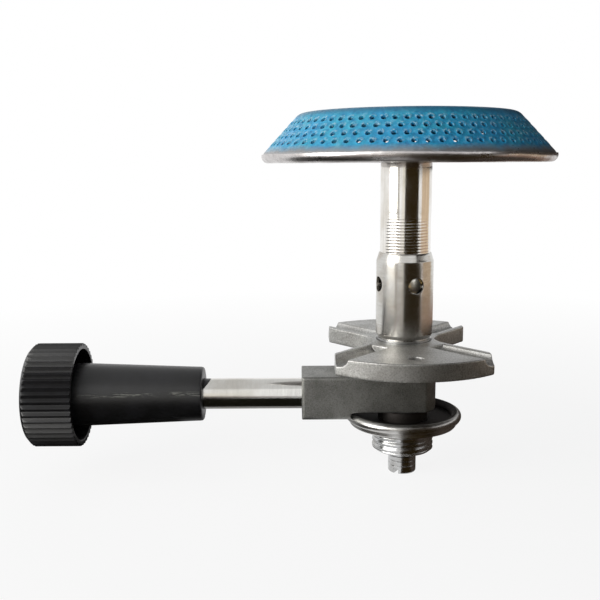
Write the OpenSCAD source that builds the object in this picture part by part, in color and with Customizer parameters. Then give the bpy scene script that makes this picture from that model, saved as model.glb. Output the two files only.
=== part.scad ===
// Screw-on gas burner: a perforated burner head on a mixing tube, with an air sleeve,
// a cast pan support and a needle valve, all carried by a threaded bottle connector.
// Z is the burner axis and Z = 0 is the underside of the seating dish, where the bottle
// meets the burner. The valve spindle lies along X, with its knob at the -X end.

/* [Bottle connector] */
// Outside diameter of the thread that screws into the bottle
thread_d = 16; // [15:0.5:18]
// Length of that thread below the dish
thread_len = 7; // [6:0.5:9]
// Chamfer at the lower end of the thread
thread_chamfer = 0.5; // [0.3:0.1:0.8]
// Diameter of the connector's upper thread, which screws into the valve body
neck_d = 9; // [8.5:0.1:9.6]
// Length of that thread inside the valve body
neck_len_in_body = 2.4; // [1.8:0.1:2.6]
// Thickness of the fibre ring above that thread
connector_seal_t = 0.6; // [0.4:0.1:0.7]
// Gas bore through the connector
inlet_d = 2.4; // [1.6:0.2:3]
// Thickness of the rubber seal let into the connector's lower face
bottle_seal_t = 1.4; // [1:0.1:2]
// Radial width of that seal
bottle_seal_w = 2.4; // [1.6:0.1:2.8]
// Diameter of the pin that opens the bottle's valve
pin_d = 7.3; // [6.4:0.1:7.8]
// How far the pin stands below the thread
pin_drop = 6.2; // [4.6:0.2:8]
// Diameter of the pin's threaded shank
pin_shank_d = 5; // [4:0.25:5.5]
// Length of the pin's threaded shank
pin_shank_len = 3.6; // [2.4:0.2:4]
// Gas bore through the pin
pin_bore_d = 1.8; // [1.2:0.1:2.4]
// Width of the screwdriver slot across the pin's end
pin_slot_w = 1.4; // [1:0.1:1.8]
// Depth of the slot
pin_slot_depth = 1.5; // [1:0.1:2.2]
// Direction of the slot, in degrees from the Y axis
pin_slot_turn = 33; // [0:1:90]

/* [Seating dish] */
// Diameter of the dish's flat floor
dish_d = 28; // [25:0.5:31]
// Thickness of the dish's sheet
dish_t = 1.2; // [0.8:0.1:1.5]
// Thickness of the rolled edge
dish_bead_d = 2.5; // [2:0.1:2.8]

/* [Valve body] */
// Width of the cast block
body_w = 13.4; // [12.4:0.1:15]
// Reach of the block from the burner axis to its spindle face
body_reach = 26.6; // [25.6:0.2:32]
// Height of the spindle axis above the dish's underside
spindle_z = 8.1; // [7.9:0.1:9]
// Block below the spindle axis
block_below = 5.4; // [5:0.1:6]
// Block above the spindle axis
block_above = 5.85; // [5.2:0.05:7]
// Radius along the long edges of the block
block_edge = 0.8; // [0.4:0.1:1.2]
// Diameter of the round hub on the burner axis
hub_d = 16.9; // [15.5:0.1:19]
// Height of the hub above the dish's underside
hub_h = 18.2; // [16.5:0.1:21]
// Diameter of the boss that stands on the dish's floor
boss_d = 13; // [12.2:0.1:14.5]
// Free height above the dish's rolled edge
dish_gap = 0.85; // [0.4:0.05:0.9]
// Diameter of the threaded spigot on top of the hub
spigot_d = 10; // [9.4:0.1:10.6]
// Length of that spigot
spigot_len = 10.8; // [9:0.2:12]
// Gas bore from the valve seat up to the jet
outlet_d = 3; // [2:0.1:3.2]

/* [Valve spindle] */
// Diameter of the spindle's rod
rod_d = 8; // [7.4:0.1:8.6]
// Bare length of the rod between the block and the knob
rod_show = 25.6; // [18:0.2:34]
// Depth of the rod inside the knob
rod_in_knob = 35.8; // [30:0.2:38]
// Depth of the flat that drives the knob
flat_depth = 2; // [1.2:0.1:2.4]
// Length of the flat that shows beside the knob
flat_show = 1.9; // [1:0.1:3]
// Diameter of the spindle's threaded end
needle_thread_d = 5; // [4.4:0.1:5.4]
// Travel of the spindle from shut to fully open
lift = 1.4; // [0.8:0.1:1.6]
// Thickness of a spindle seal along the rod
ring_w = 1.6; // [1.2:0.1:1.8]
// Depth of the groove that holds a spindle seal
groove_depth = 1; // [0.7:0.1:1.2]
// Side play of a seal in its groove
groove_side = 0.1; // [0.05:0.05:0.2]
// Diameter of the carrier that holds the sealing pad
carrier_d = 3.8; // [3.4:0.1:4.2]
// Length of the carrier
carrier_len = 3.5; // [3.2:0.1:4]
// Diameter of the sealing pad
pad_d = 2.8; // [2.4:0.1:3]
// Thickness of the sealing pad
pad_t = 1; // [0.8:0.1:1.2]
// Gas hole through the valve seat
seat_hole_d = 1.6; // [1:0.1:1.8]
// Thickness of the valve seat
seat_t = 1.8; // [1.4:0.1:2.2]

/* [Knob] */
// Diameter of the knob over its ribs
knob_d = 26.9; // [25:0.1:31]
// Width of the ribbed rim
knob_w = 12.8; // [10:0.1:16]
// Number of ribs around the rim
knob_ribs = 36; // [28:2:44]
// Depth of the grooves between the ribs
rib_depth = 0.9; // [0.5:0.1:1.2]
// Chamfer around the outer end
knob_chamfer = 1.2; // [0.6:0.1:1.6]
// Wall of the rim around the hollow
knob_wall = 0.8; // [0.6:0.1:1.8]
// Thickness of the closed outer end
knob_end_t = 2.6; // [2:0.1:4]
// Length of the neck outside the rim
neck_len = 31.8; // [26:0.2:36]
// Diameter of the neck at its free end
neck_tip_d = 14; // [13:0.1:15]
// Diameter of the neck where it enters the rim
neck_root_d = 16.4; // [15.4:0.1:17.4]

/* [Pan support] */
// Diameter over the two lobes
support_d = 56.4; // [52:0.2:62]
// Width across the cut ends of the arms
support_w = 37.5; // [36:0.5:40]
// Thickness of the casting
support_t = 4.3; // [3.6:0.1:6]
// Angle between each arm's groove and the Y axis
arm_angle = 40; // [38:0.5:42]
// Radius of the groove's round bottom
groove_r = 2.8; // [2.4:0.1:3]
// Depth of the groove
groove_sink = 2; // [1.4:0.1:2.2]
// Distance of the groove's closed end from the burner axis
groove_start = 11; // [10:0.2:13]
// Distance from the groove's centreline to the arm's outer side
arm_side = 4.2; // [4:0.1:4.6]
// Radius at the root of the gaps between the lobes
gap_r = 8.4; // [7.6:0.1:9]
// Diameter of the fixing holes in the lobes
fixing_d = 3.7; // [3:0.1:4.5]
// Distance of the fixing holes from the burner axis
fixing_reach = 22; // [19:0.5:24]
// Diameter of the washer under the sleeve
washer_d = 13.8; // [13:0.1:14.4]
// Thickness of that washer
washer_t = 0.6; // [0.4:0.1:1]

/* [Jet, sleeve and tube] */
// Width of the jet's hexagon across its flats
jet_hex = 8; // [7:0.5:8.5]
// Height of the hexagon
jet_hex_h = 3.4; // [2.6:0.2:4]
// Height of the nozzle above the hexagon
jet_nose_h = 2.2; // [1.4:0.2:2.4]
// Diameter of the nozzle where it leaves the hexagon
jet_nose_d = 6.4; // [5:0.2:6.8]
// Diameter of the nozzle's tip
jet_tip_d = 2.4; // [1.6:0.2:3]
// Diameter of the bore that leads up to the orifice
jet_nose_bore_d = 2; // [1.2:0.1:2.1]
// Wall left above that bore, pierced by the orifice
orifice_wall = 1.6; // [1:0.1:2.4]
// Diameter of the jet's thread
jet_thread_d = 6; // [5.4:0.1:6.4]
// Length of the jet's thread
jet_thread_len = 4.5; // [3.5:0.1:5.5]
// Gas bore inside the jet
jet_bore_d = 3; // [2.2:0.1:3.2]
// Jet orifice
orifice_d = 0.4; // [0.2:0.05:0.6]
// Thickness of the jet's washer
jet_washer_t = 0.6; // [0.4:0.1:0.8]
// Outside diameter of the air sleeve
sleeve_d = 14.6; // [14.4:0.1:16]
// Length of the air sleeve
sleeve_len = 22.1; // [21.5:0.1:26]
// Length of the tapered shoulder at the sleeve's top
sleeve_taper = 2; // [1.5:0.1:3]
// Wall of the sleeve around the air chamber
chamber_wall = 1.4; // [1.1:0.1:1.8]
// Diameter of the air holes
air_hole_d = 3.8; // [3:0.1:4]
// Height of the air holes above the sleeve's foot
air_hole_up = 14.1; // [13.5:0.1:14.4]
// Number of air holes
air_holes = 4; // [2:1:6]
// Turn of the first air hole, in degrees from the front
air_hole_turn = 16; // [0:1:45]
// Outside diameter of the mixing tube
tube_d = 12.9; // [12.6:0.1:13.4]
// Wall of the mixing tube
tube_wall = 1.1; // [1:0.05:1.3]
// Depth of the fine thread that screws into the sleeve
tube_thread_depth = 0.15; // [0.1:0.05:0.25]
// Length of that thread inside the sleeve
tube_in_sleeve = 5.5; // [4:0.5:6]
// Length of that thread that shows above the sleeve
tube_thread_show = 9.9; // [4:0.1:14]
// Length of the mixing tube between the sleeve and the burner head
tube_show = 22.5; // [16:0.1:34]
// Shoulder that the burner head rests on
tube_shoulder = 0.5; // [0.3:0.05:0.55]

/* [Burner head] */
// Outside diameter over the rolled rim
head_d = 72.8; // [66:0.2:84]
// Height of the head
head_h = 12.5; // [12.2:0.1:14.5]
// Slope of the perforated cone above the horizontal
cone_angle = 47.3; // [45.5:0.1:50]
// Radius of the rolled rim
rim_r = 1.7; // [1.3:0.1:1.9]
// Height of the rolled rim
rim_h = 2.1; // [1.9:0.1:3]
// Radius where the cone turns into the flat top
crown_r = 3; // [2:0.1:4]
// Sheet thickness of the pan, which is also the rolled rim
pan_t = 0.4; // [0.3:0.05:0.5]
// Sheet thickness of the cap
cap_t = 0.7; // [0.5:0.05:0.9]
// Width of the cap's inner flange
flange_w = 3.4; // [2.5:0.1:5]
// Diameter of the flame holes
flame_hole_d = 1.2; // [0.9:0.1:1.4]
// Number of flame holes in each row
flame_holes = 72; // [48:2:80]
// Number of rows
flame_rows = 4; // [2:1:4]
// Distance of the first row from the head's lower corner, up the slope
first_row = 6.5; // [6.1:0.05:6.6]
// Distance between the rows, up the slope
row_pitch = 2.3; // [1.8:0.02:2.4]
// Width of the hexagon nut inside the head
head_nut_hex = 17; // [16:0.5:20]
// Height of that nut
head_nut_h = 2.6; // [2:0.1:3.5]
// Thickness of the washer under the nut
head_washer_t = 0.8; // [0.5:0.1:1.2]

/* [Fits] */
// Radial clearance of screwed and sliding fits
fit_gap = 0.05; // [0.03:0.01:0.08]
// Clearance of moving pieces that must not touch
free_gap = 0.3; // [0.2:0.05:0.4]

/* [Hidden] */
$fn = 96;

cut = 1;
hex_sides = 6;

// Seating dish and boss, up from the dish's underside
bead_r = dish_bead_d / 2;
bead_sink = 0.05;
bead_z = dish_t + bead_r - bead_sink;
bead_reach = dish_d / 2 - bead_sink;
dish_reach = bead_reach + bead_r;
relief_z = bead_z + bead_r + dish_gap;
relief_reach = dish_reach + free_gap;

// Connector neck inside the boss
neck_top = dish_t + neck_len_in_body;
connector_seal_w = 0.6;
socket_top = neck_top + connector_seal_t;
inlet_filter_d = neck_d - 2 * connector_seal_w - 1;
inlet_filter_t = 0.8;
seal_recess_r = pin_d / 2 + bottle_seal_w + 2 * fit_gap;

// Spindle stations, measured from the burner axis towards the knob
seat_inner = outlet_d / 2 + 0.7;
seat_face = seat_inner + seat_t;
pad_gap = 0.2;
pad_face = seat_face + pad_gap;
pad_proud = 0.5;
carrier_start = pad_face + pad_proud;
carrier_end = carrier_start + carrier_len;
stub_d = 1.6;
stub_len = carrier_len - pad_t + pad_proud - 1.1;
thread_start = carrier_end + free_gap;
bore_step = relief_reach + 1.2;
shoulder_s = bore_step + free_gap;
valve_bore_r = needle_thread_d / 2 + fit_gap;
knob_start = body_reach + rod_show;
rod_end = knob_start + rod_in_knob;
rim_start = knob_start + neck_len;
knob_end = rim_start + knob_w;
mouth_chamfer = 0.4;

// Two seal grooves, with equal stretches of bore before, between and after them
seals = 2;
seal_groove = ring_w + 2 * groove_side;
seal_room = body_reach - mouth_chamfer - lift - shoulder_s;
seal_land = (seal_room - seals * seal_groove) / (seals + 1);
seal_pitch = seal_land + seal_groove;
first_seal = shoulder_s + seal_land;

// Heights above the hub
support_top = hub_h + support_t;
sleeve_foot = support_top + washer_t;
spigot_top = hub_h + spigot_len;
jet_seat = spigot_top + jet_washer_t;
jet_tip = jet_seat + jet_hex_h + jet_nose_h;
jet_socket_depth = jet_thread_len + 0.5;
sleeve_top = sleeve_foot + sleeve_len;
tube_foot = sleeve_top - tube_in_sleeve;
tube_thread_r = tube_d / 2 - tube_thread_depth;
head_z = sleeve_top + tube_show;
tube_neck_r = tube_d / 2 - tube_shoulder;
head_nut_z = head_z + pan_t + head_washer_t;
tube_top = head_nut_z + head_nut_h + 0.6;

// Corner where the cone's slope would meet the head's underside
corner_reach = head_d / 2 - rim_r + rim_r / tan(cone_angle / 2);

// Turns a piece built along +Z into one along the spindle, with its +X side up
module on_spindle() {
    translate([0, 0, spindle_z]) rotate([0, -90, 0]) children();
}

// Cylinder along the spindle between two stations
module spindle_cylinder(from, to, r) {
    on_spindle() translate([0, 0, from]) cylinder(h = to - from, r = r);
}

module tube_ring(z, h, r_out, r_in) {
    translate([0, 0, z]) difference() {
        cylinder(h = h, r = r_out);
        translate([0, 0, -cut]) cylinder(h = h + 2 * cut, r = r_in);
    }
}

// Regular hexagon by its width across the flats
module hexagon(across) {
    circle(d = across / cos(180 / hex_sides), $fn = hex_sides);
}

module rounded_box_2d(size_x, size_y, r) {
    translate([r, 0]) square([size_x - 2 * r, size_y]);
    translate([0, r]) square([size_x, size_y - 2 * r]);
    for (x = [r, size_x - r], y = [r, size_y - r]) {
        translate([x, y]) circle(r = r);
    }
}

// Bottle connector: thread, shoulder under the dish and neck into the valve body
module connector_profile() {
    r = thread_d / 2;
    polygon([
        [0, -thread_len], [r - thread_chamfer, -thread_len], [r, thread_chamfer - thread_len],
        [r, 0], [neck_d / 2, 0], [neck_d / 2, neck_top], [0, neck_top]
    ]);
}

module bottle_connector() color("silver") difference() {
    rotate_extrude() connector_profile();
    translate([0, 0, -thread_len - cut]) cylinder(h = cut + bottle_seal_t, r = seal_recess_r);
    translate([0, 0, -thread_len]) {
        cylinder(h = bottle_seal_t + pin_shank_len + 0.2, r = pin_shank_d / 2 + fit_gap);
    }
    translate([0, 0, -thread_len]) cylinder(h = thread_len + neck_top + cut, d = inlet_d);
    translate([0, 0, neck_top - inlet_filter_t]) {
        cylinder(h = inlet_filter_t + cut, r = inlet_filter_d / 2 + fit_gap);
    }
}

module bottle_seal() color("black") {
    tube_ring(-thread_len, bottle_seal_t, pin_d / 2 + fit_gap + bottle_seal_w,
        pin_d / 2 + fit_gap);
}

module opening_pin() color("silver") {
    chamfer = 0.4;
    foot = -thread_len - pin_drop;
    shank_foot = bottle_seal_t - thread_len;
    difference() {
        rotate_extrude() polygon([
            [0, foot], [pin_d / 2 - chamfer, foot], [pin_d / 2, foot + chamfer],
            [pin_d / 2, shank_foot], [pin_shank_d / 2, shank_foot],
            [pin_shank_d / 2, shank_foot + pin_shank_len], [0, shank_foot + pin_shank_len]
        ]);
        translate([0, 0, foot - cut]) cylinder(h = 2 * thread_len + pin_drop, d = pin_bore_d);
        rotate([0, 0, -pin_slot_turn]) translate([-pin_slot_w / 2, -pin_d, foot - cut]) {
            cube([pin_slot_w, 2 * pin_d, pin_slot_depth + cut]);
        }
    }
}

module inlet_filter() color("goldenrod") {
    translate([0, 0, neck_top - inlet_filter_t]) cylinder(h = inlet_filter_t, d = inlet_filter_d);
}

module connector_seal() color("dimgray") {
    tube_ring(neck_top, connector_seal_t, neck_d / 2, neck_d / 2 - connector_seal_w);
}

// Pressed dish with an outward rolled edge that stands on the flat floor
module seating_dish() color("lightgray") rotate_extrude() difference() {
    union() {
        square([dish_d / 2 - 0.3, dish_t]);
        translate([0, 0.3]) square([dish_d / 2, dish_t - 0.3]);
        translate([dish_d / 2 - 0.3, 0.3]) circle(r = 0.3);
        translate([bead_reach, bead_z]) circle(r = bead_r);
    }
    translate([-cut, -cut]) square([neck_d / 2 + fit_gap + cut, dish_t + 2 * cut]);
}

// Cast block with a round end, raised hub, boss and spigot
module body_outside() {
    intersection() {
        union() {
            translate([-body_reach, -body_w / 2, 0]) linear_extrude(spindle_z + block_above) {
                rounded_box_2d(body_reach + hub_d / 2, body_w, block_edge);
            }
        }
        translate([-body_reach - cut, 0, spindle_z - block_below]) rotate([90, 0, 90]) {
            linear_extrude(body_reach + cut) translate([-body_w / 2, 0]) {
                rounded_box_2d(body_w, block_below + block_above, block_edge);
            }
        }
    }
    intersection() {
        cylinder(h = hub_h, d = hub_d);
        translate([-hub_d, -body_w / 2, relief_z]) cube([2 * hub_d, body_w, hub_h]);
    }
    translate([0, 0, dish_t]) cylinder(h = relief_z, d = boss_d);
    translate([0, 0, spindle_z]) cylinder(h = spigot_top - spindle_z, d = spigot_d);
}

// Room for the dish's rolled edge, all round the boss
module dish_relief() {
    difference() {
        translate([0, 0, -cut]) cylinder(h = relief_z + cut, r = relief_reach);
        cylinder(h = relief_z + cut, d = boss_d);
    }
}

module inlet_drilling() {
    // Slanted hole from the connector's socket up into the valve bore
    slant = 40;
    translate([-neck_d / 2 + 1.6, 0, socket_top - 0.6]) rotate([0, -slant, 0]) {
        cylinder(h = spindle_z - socket_top, r = 0.8);
    }
}

module valve_body() color("darkgray") difference() {
    body_outside();
    dish_relief();
    spindle_cylinder(bore_step, body_reach + cut, rod_d / 2 + fit_gap);
    on_spindle() translate([0, 0, body_reach - mouth_chamfer]) {
        cylinder(h = mouth_chamfer + cut, r1 = rod_d / 2 + fit_gap,
            r2 = rod_d / 2 + fit_gap + mouth_chamfer + cut);
    }
    spindle_cylinder(seat_inner, bore_step + cut, valve_bore_r);
    spindle_cylinder(0, seat_inner + cut, outlet_d / 2 - 0.3);
    translate([0, 0, spindle_z]) cylinder(h = spigot_len + hub_h, d = outlet_d);
    translate([0, 0, spigot_top - jet_socket_depth]) {
        cylinder(h = jet_socket_depth + cut, r = jet_thread_d / 2 + fit_gap);
    }
    translate([0, 0, dish_t - cut]) {
        cylinder(h = socket_top - dish_t + cut, r = neck_d / 2 + fit_gap);
    }
    inlet_drilling();
}

module valve_seat() color("goldenrod") difference() {
    spindle_cylinder(seat_inner, seat_face, valve_bore_r - fit_gap / 2);
    spindle_cylinder(seat_inner - cut, seat_face + cut, seat_hole_d / 2);
}

module sealing_pad() color("black") {
    spindle_cylinder(pad_face, pad_face + pad_t, pad_d / 2);
}

module pad_carrier() color("goldenrod") difference() {
    spindle_cylinder(carrier_start, carrier_end, carrier_d / 2);
    spindle_cylinder(carrier_start - cut, pad_face + pad_t, pad_d / 2 + fit_gap / 2);
    spindle_cylinder(carrier_end - stub_len - free_gap, carrier_end + cut, stub_d / 2 + fit_gap);
}

// Wedge over the rod's flat, with a slope at its end; grow moves its faces out
module flat_wedge(start, end, grow) {
    r = rod_d / 2;
    floor_x = r - flat_depth - grow;
    on_spindle() rotate([90, 0, 0]) linear_extrude(2 * rod_d, center = true) polygon([
        [floor_x, start + flat_depth], [r + cut, start - cut], [r + cut, end], [floor_x, end]
    ]);
}

module spindle() color("silver") difference() {
    union() {
        spindle_cylinder(carrier_end - stub_len, thread_start + cut, stub_d / 2);
        spindle_cylinder(thread_start, shoulder_s + cut, needle_thread_d / 2);
        spindle_cylinder(shoulder_s, rod_end, rod_d / 2);
    }
    for (i = [0 : seals - 1]) on_spindle() {
        tube_ring(first_seal + i * seal_pitch, seal_groove, rod_d,
            rod_d / 2 - groove_depth);
    }
    flat_wedge(knob_start - flat_show, rod_end + cut, 0);
}

module spindle_seals() color("black") {
    for (i = [0 : seals - 1]) on_spindle() {
        tube_ring(first_seal + i * seal_pitch + groove_side, ring_w, rod_d / 2,
            rod_d / 2 - groove_depth + fit_gap / 2);
    }
}

// Ribbed outline of the knob's rim
function rib_points(r, depth, n) = [
    for (i = [0 : 2 * n - 1]) (r - depth * (i % 2)) * [cos(180 * i / n), sin(180 * i / n)]
];

module knob_rim() {
    intersection() {
        translate([0, 0, rim_start]) linear_extrude(knob_w) {
            polygon(rib_points(knob_d / 2, rib_depth, knob_ribs));
        }
        union() {
            translate([0, 0, rim_start - cut]) {
                cylinder(h = knob_w - knob_chamfer + cut, d = knob_d + cut);
            }
            translate([0, 0, knob_end - knob_chamfer]) {
                cylinder(h = knob_chamfer, d1 = knob_d, d2 = knob_d - 2 * knob_chamfer);
            }
        }
    }
}

module knob_neck() {
    tip = 0.5;
    growth = (neck_root_d - neck_tip_d) / neck_len;
    inner_len = knob_w - knob_end_t + cut;
    translate([0, 0, knob_start]) {
        cylinder(h = tip, d1 = neck_tip_d - 2 * tip, d2 = neck_tip_d + growth * tip);
    }
    translate([0, 0, knob_start + tip]) {
        cylinder(h = neck_len + inner_len - tip, d1 = neck_tip_d + growth * tip,
            d2 = neck_root_d + growth * inner_len);
    }
}

module knob() color("dimgray") difference() {
    union() {
        on_spindle() difference() {
            knob_rim();
            translate([0, 0, rim_start - cut]) {
                cylinder(h = knob_w - knob_end_t + cut, r = knob_d / 2 - rib_depth - knob_wall);
            }
        }
        on_spindle() knob_neck();
        intersection() {
            spindle_cylinder(knob_start - flat_show + fit_gap, knob_start + cut, rod_d / 2 - fit_gap);
            flat_wedge(knob_start - flat_show + 2 * fit_gap, knob_end, -fit_gap);
        }
    }
    difference() {
        spindle_cylinder(knob_start, rod_end + free_gap, rod_d / 2 + fit_gap);
        flat_wedge(knob_start - flat_show + 2 * fit_gap, knob_end, -fit_gap);
    }
}

// Gap between the two lobes on one side, with a round root tangent to both arms
module lobe_gap() {
    gap_x = (arm_side + gap_r) / cos(arm_angle);
    root = [gap_x - gap_r * cos(arm_angle), gap_r * sin(arm_angle)];
    far = root + support_d * [sin(arm_angle), cos(arm_angle)];
    translate([gap_x, 0]) circle(r = gap_r);
    polygon([root, far, [far.x, -far.y], [root.x, -root.y]]);
}

module pan_support() color("darkgray") difference() {
    translate([0, 0, hub_h]) linear_extrude(support_t) difference() {
        intersection() {
            circle(d = support_d);
            square([support_w, support_d], center = true);
        }
        lobe_gap();
        mirror([1, 0]) lobe_gap();
        circle(r = spigot_d / 2 + fit_gap);
        for (side = [-1, 1]) translate([0, side * fixing_reach]) circle(d = fixing_d);
    }
    for (a = [arm_angle, -arm_angle, 180 - arm_angle, 180 + arm_angle]) {
        rotate([0, 0, a]) translate([0, groove_start, support_top + groove_r - groove_sink]) {
            rotate([-90, 0, 0]) cylinder(h = support_d, r = groove_r);
        }
    }
}

module support_washer() color("silver") {
    tube_ring(support_top, washer_t, washer_d / 2, spigot_d / 2 + fit_gap);
}

module jet() color("goldenrod") difference() {
    union() {
        translate([0, 0, spigot_top - jet_thread_len]) {
            cylinder(h = jet_thread_len + jet_washer_t + cut, d = jet_thread_d);
        }
        translate([0, 0, jet_seat]) linear_extrude(jet_hex_h) hexagon(jet_hex);
        translate([0, 0, jet_seat + jet_hex_h]) cylinder(h = jet_nose_h, d1 = jet_nose_d, d2 = jet_tip_d);
    }
    translate([0, 0, spigot_top - jet_thread_len - cut]) {
        cylinder(h = jet_tip - orifice_wall - spigot_top + jet_thread_len + cut, d = jet_nose_bore_d);
    }
    translate([0, 0, spigot_top - jet_thread_len - cut]) {
        cylinder(h = jet_thread_len + cut, d = jet_bore_d);
    }
    translate([0, 0, spigot_top]) cylinder(h = jet_tip, d = orifice_d);
}

module jet_washer() color("peru") {
    tube_ring(spigot_top, jet_washer_t, jet_hex / 2, jet_thread_d / 2 + fit_gap);
}

module jet_filter() color("tan") {
    translate([0, 0, spigot_top - jet_thread_len]) {
        cylinder(h = jet_thread_len - 0.5, r = jet_bore_d / 2 - fit_gap);
    }
}

// Air sleeve: screwed onto the spigot below, with the air chamber round the jet
module air_sleeve() color("silver") {
    r = sleeve_d / 2;
    foot_chamfer = 0.4;
    shoulder_r = tube_thread_r + fit_gap + 0.25;
    socket_len = spigot_top - sleeve_foot + free_gap;
    difference() {
        rotate_extrude() polygon([
            [0, sleeve_foot], [r - foot_chamfer, sleeve_foot], [r, sleeve_foot + 3 * foot_chamfer],
            [r, sleeve_top - sleeve_taper], [shoulder_r, sleeve_top], [0, sleeve_top]
        ]);
        translate([0, 0, sleeve_foot - cut]) {
            cylinder(h = socket_len + cut, r = spigot_d / 2 + fit_gap);
        }
        translate([0, 0, sleeve_foot + socket_len]) {
            cylinder(h = tube_foot - sleeve_foot - socket_len, r = r - chamber_wall);
        }
        translate([0, 0, tube_foot]) {
            cylinder(h = tube_in_sleeve + cut, r = tube_thread_r + fit_gap);
        }
        for (i = [0 : air_holes - 1]) {
            rotate([0, 0, air_hole_turn + i * 360 / air_holes]) {
                translate([0, 0, sleeve_foot + air_hole_up]) rotate([90, 0, 0]) {
                    cylinder(h = sleeve_d, d = air_hole_d);
                }
            }
        }
    }
}

module mixing_tube() color("silver") {
    r = tube_d / 2;
    ring_z = sleeve_top + tube_thread_show;
    difference() {
        rotate_extrude() polygon([
            [0, tube_foot], [tube_thread_r, tube_foot], [tube_thread_r, ring_z],
            [r, ring_z + tube_thread_depth], [r, head_z], [tube_neck_r, head_z],
            [tube_neck_r, tube_top], [0, tube_top]
        ]);
        translate([0, 0, tube_foot - cut]) {
            cylinder(h = tube_top - tube_foot + 2 * cut, r = r - tube_wall);
        }
    }
}

// Closed outline of the head in section, moved in from its outer surface by inset
module head_outline(inset) {
    slope = cone_angle;
    normal = [sin(slope), cos(slope)];
    top_z = head_h - inset;
    low_r = rim_r - inset;
    high_r = crown_r - inset;
    low = [corner_reach - rim_r / tan(slope / 2), rim_r];
    crown_reach = corner_reach - head_h / tan(slope) - crown_r * tan(slope / 2);
    high = [crown_reach, head_h - crown_r];
    polygon([
        [0, inset], [low.x, inset], low, low + low_r * normal, high + high_r * normal,
        high, [high.x, top_z], [0, top_z]
    ]);
    translate(low) circle(r = low_r);
    translate(high) circle(r = high_r);
}

// Flat pan whose edge is rolled up round the foot of the cap
module burner_pan() color("silver") {
    translate([0, 0, head_z]) rotate_extrude() difference() {
        intersection() {
            difference() {
                head_outline(0);
                head_outline(pan_t);
            }
            square([head_d, rim_h]);
        }
        translate([-cut, -cut]) square([tube_neck_r + fit_gap + cut, head_h]);
    }
}

module cap_shell() {
    rotate_extrude() difference() {
        head_outline(pan_t);
        head_outline(pan_t + cap_t);
        translate([-cut, 0]) square([head_d / 2 - rim_r - flange_w + cut, pan_t + cap_t + cut]);
    }
}

// Flame holes: staggered rows drilled square to the cone
module flame_hole_rows() {
    for (row = [0 : flame_rows - 1]) {
        up = first_row + row * row_pitch;
        reach = corner_reach - up * cos(cone_angle);
        for (i = [0 : flame_holes - 1]) {
            rotate([0, 0, (i + 0.5 * (row % 2)) * 360 / flame_holes]) {
                translate([reach, 0, up * sin(cone_angle)]) rotate([0, cone_angle, 0]) {
                    cylinder(h = 2 * (pan_t + cap_t) + cut, d = flame_hole_d, center = true);
                }
            }
        }
    }
}

module burner_cap() color("steelblue") translate([0, 0, head_z]) difference() {
    cap_shell();
    flame_hole_rows();
}

module head_washer() color("silver") {
    tube_ring(head_z + pan_t, head_washer_t, head_nut_hex / 2 + 1.5, tube_neck_r + fit_gap);
}

module head_nut() color("silver") translate([0, 0, head_nut_z]) difference() {
    linear_extrude(head_nut_h) hexagon(head_nut_hex);
    translate([0, 0, -cut]) cylinder(h = head_nut_h + 2 * cut, r = tube_neck_r + fit_gap);
}

bottle_connector();
bottle_seal();
opening_pin();
inlet_filter();
connector_seal();
seating_dish();
valve_body();
valve_seat();
sealing_pad();
pad_carrier();
spindle();
spindle_seals();
knob();
pan_support();
support_washer();
jet();
jet_washer();
jet_filter();
air_sleeve();
mixing_tube();
burner_pan();
head_washer();
head_nut();
burner_cap();
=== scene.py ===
import math

import bpy
from mathutils import Matrix, Vector, noise


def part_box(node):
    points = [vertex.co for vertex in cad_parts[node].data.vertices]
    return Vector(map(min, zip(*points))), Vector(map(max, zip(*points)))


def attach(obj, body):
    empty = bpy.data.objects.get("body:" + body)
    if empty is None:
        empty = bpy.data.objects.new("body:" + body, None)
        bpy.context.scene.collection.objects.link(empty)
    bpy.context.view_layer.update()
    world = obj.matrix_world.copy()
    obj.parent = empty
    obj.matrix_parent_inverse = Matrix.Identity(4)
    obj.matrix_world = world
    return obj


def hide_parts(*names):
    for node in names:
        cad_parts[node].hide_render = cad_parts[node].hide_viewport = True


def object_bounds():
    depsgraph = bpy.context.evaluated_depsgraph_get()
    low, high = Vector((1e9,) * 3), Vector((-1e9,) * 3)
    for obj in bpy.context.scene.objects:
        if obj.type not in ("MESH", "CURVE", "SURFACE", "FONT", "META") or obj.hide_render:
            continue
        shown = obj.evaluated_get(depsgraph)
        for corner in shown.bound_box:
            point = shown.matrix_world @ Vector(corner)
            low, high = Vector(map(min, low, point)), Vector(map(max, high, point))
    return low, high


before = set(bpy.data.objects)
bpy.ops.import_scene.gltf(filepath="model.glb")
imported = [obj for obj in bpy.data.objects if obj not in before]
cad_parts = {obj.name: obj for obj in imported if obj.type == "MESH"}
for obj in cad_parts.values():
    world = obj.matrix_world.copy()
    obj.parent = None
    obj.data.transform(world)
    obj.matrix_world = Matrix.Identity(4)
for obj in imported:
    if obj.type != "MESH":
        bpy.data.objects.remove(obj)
cadLow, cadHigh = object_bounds()
mm = 0.001                  # sizes are in millimetres, but the studio's floor, cards and lamps are in metres
fullTurn = 2 * math.pi
tiny = 1e-6                 # lengths below this count as nothing
noiseLow, noiseHigh = 0.3, 0.7      # nearly all of a noise pattern's values lie between these
print("frame loaded:", len(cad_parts), "nodes")

boxes = {}


def boxOf(node):
    # lowest and highest corner of a CAD solid, in millimetres
    if node not in boxes:
        low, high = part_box(node)
        boxes[node] = low / mm, high / mm
    return boxes[node]


def linear(colour):
    # sRGB hex to the linear colour that a shader takes
    parts = [int(colour[i:i + 2], 16) / 255 for i in (1, 3, 5)]
    return [p / 12.92 if p <= 0.04045 else ((p + 0.055) / 1.055) ** 2.4 for p in parts] + [1]


def smoothStep(value):
    value = min(1, max(0, value))
    return value * value * (3 - 2 * value)


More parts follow.
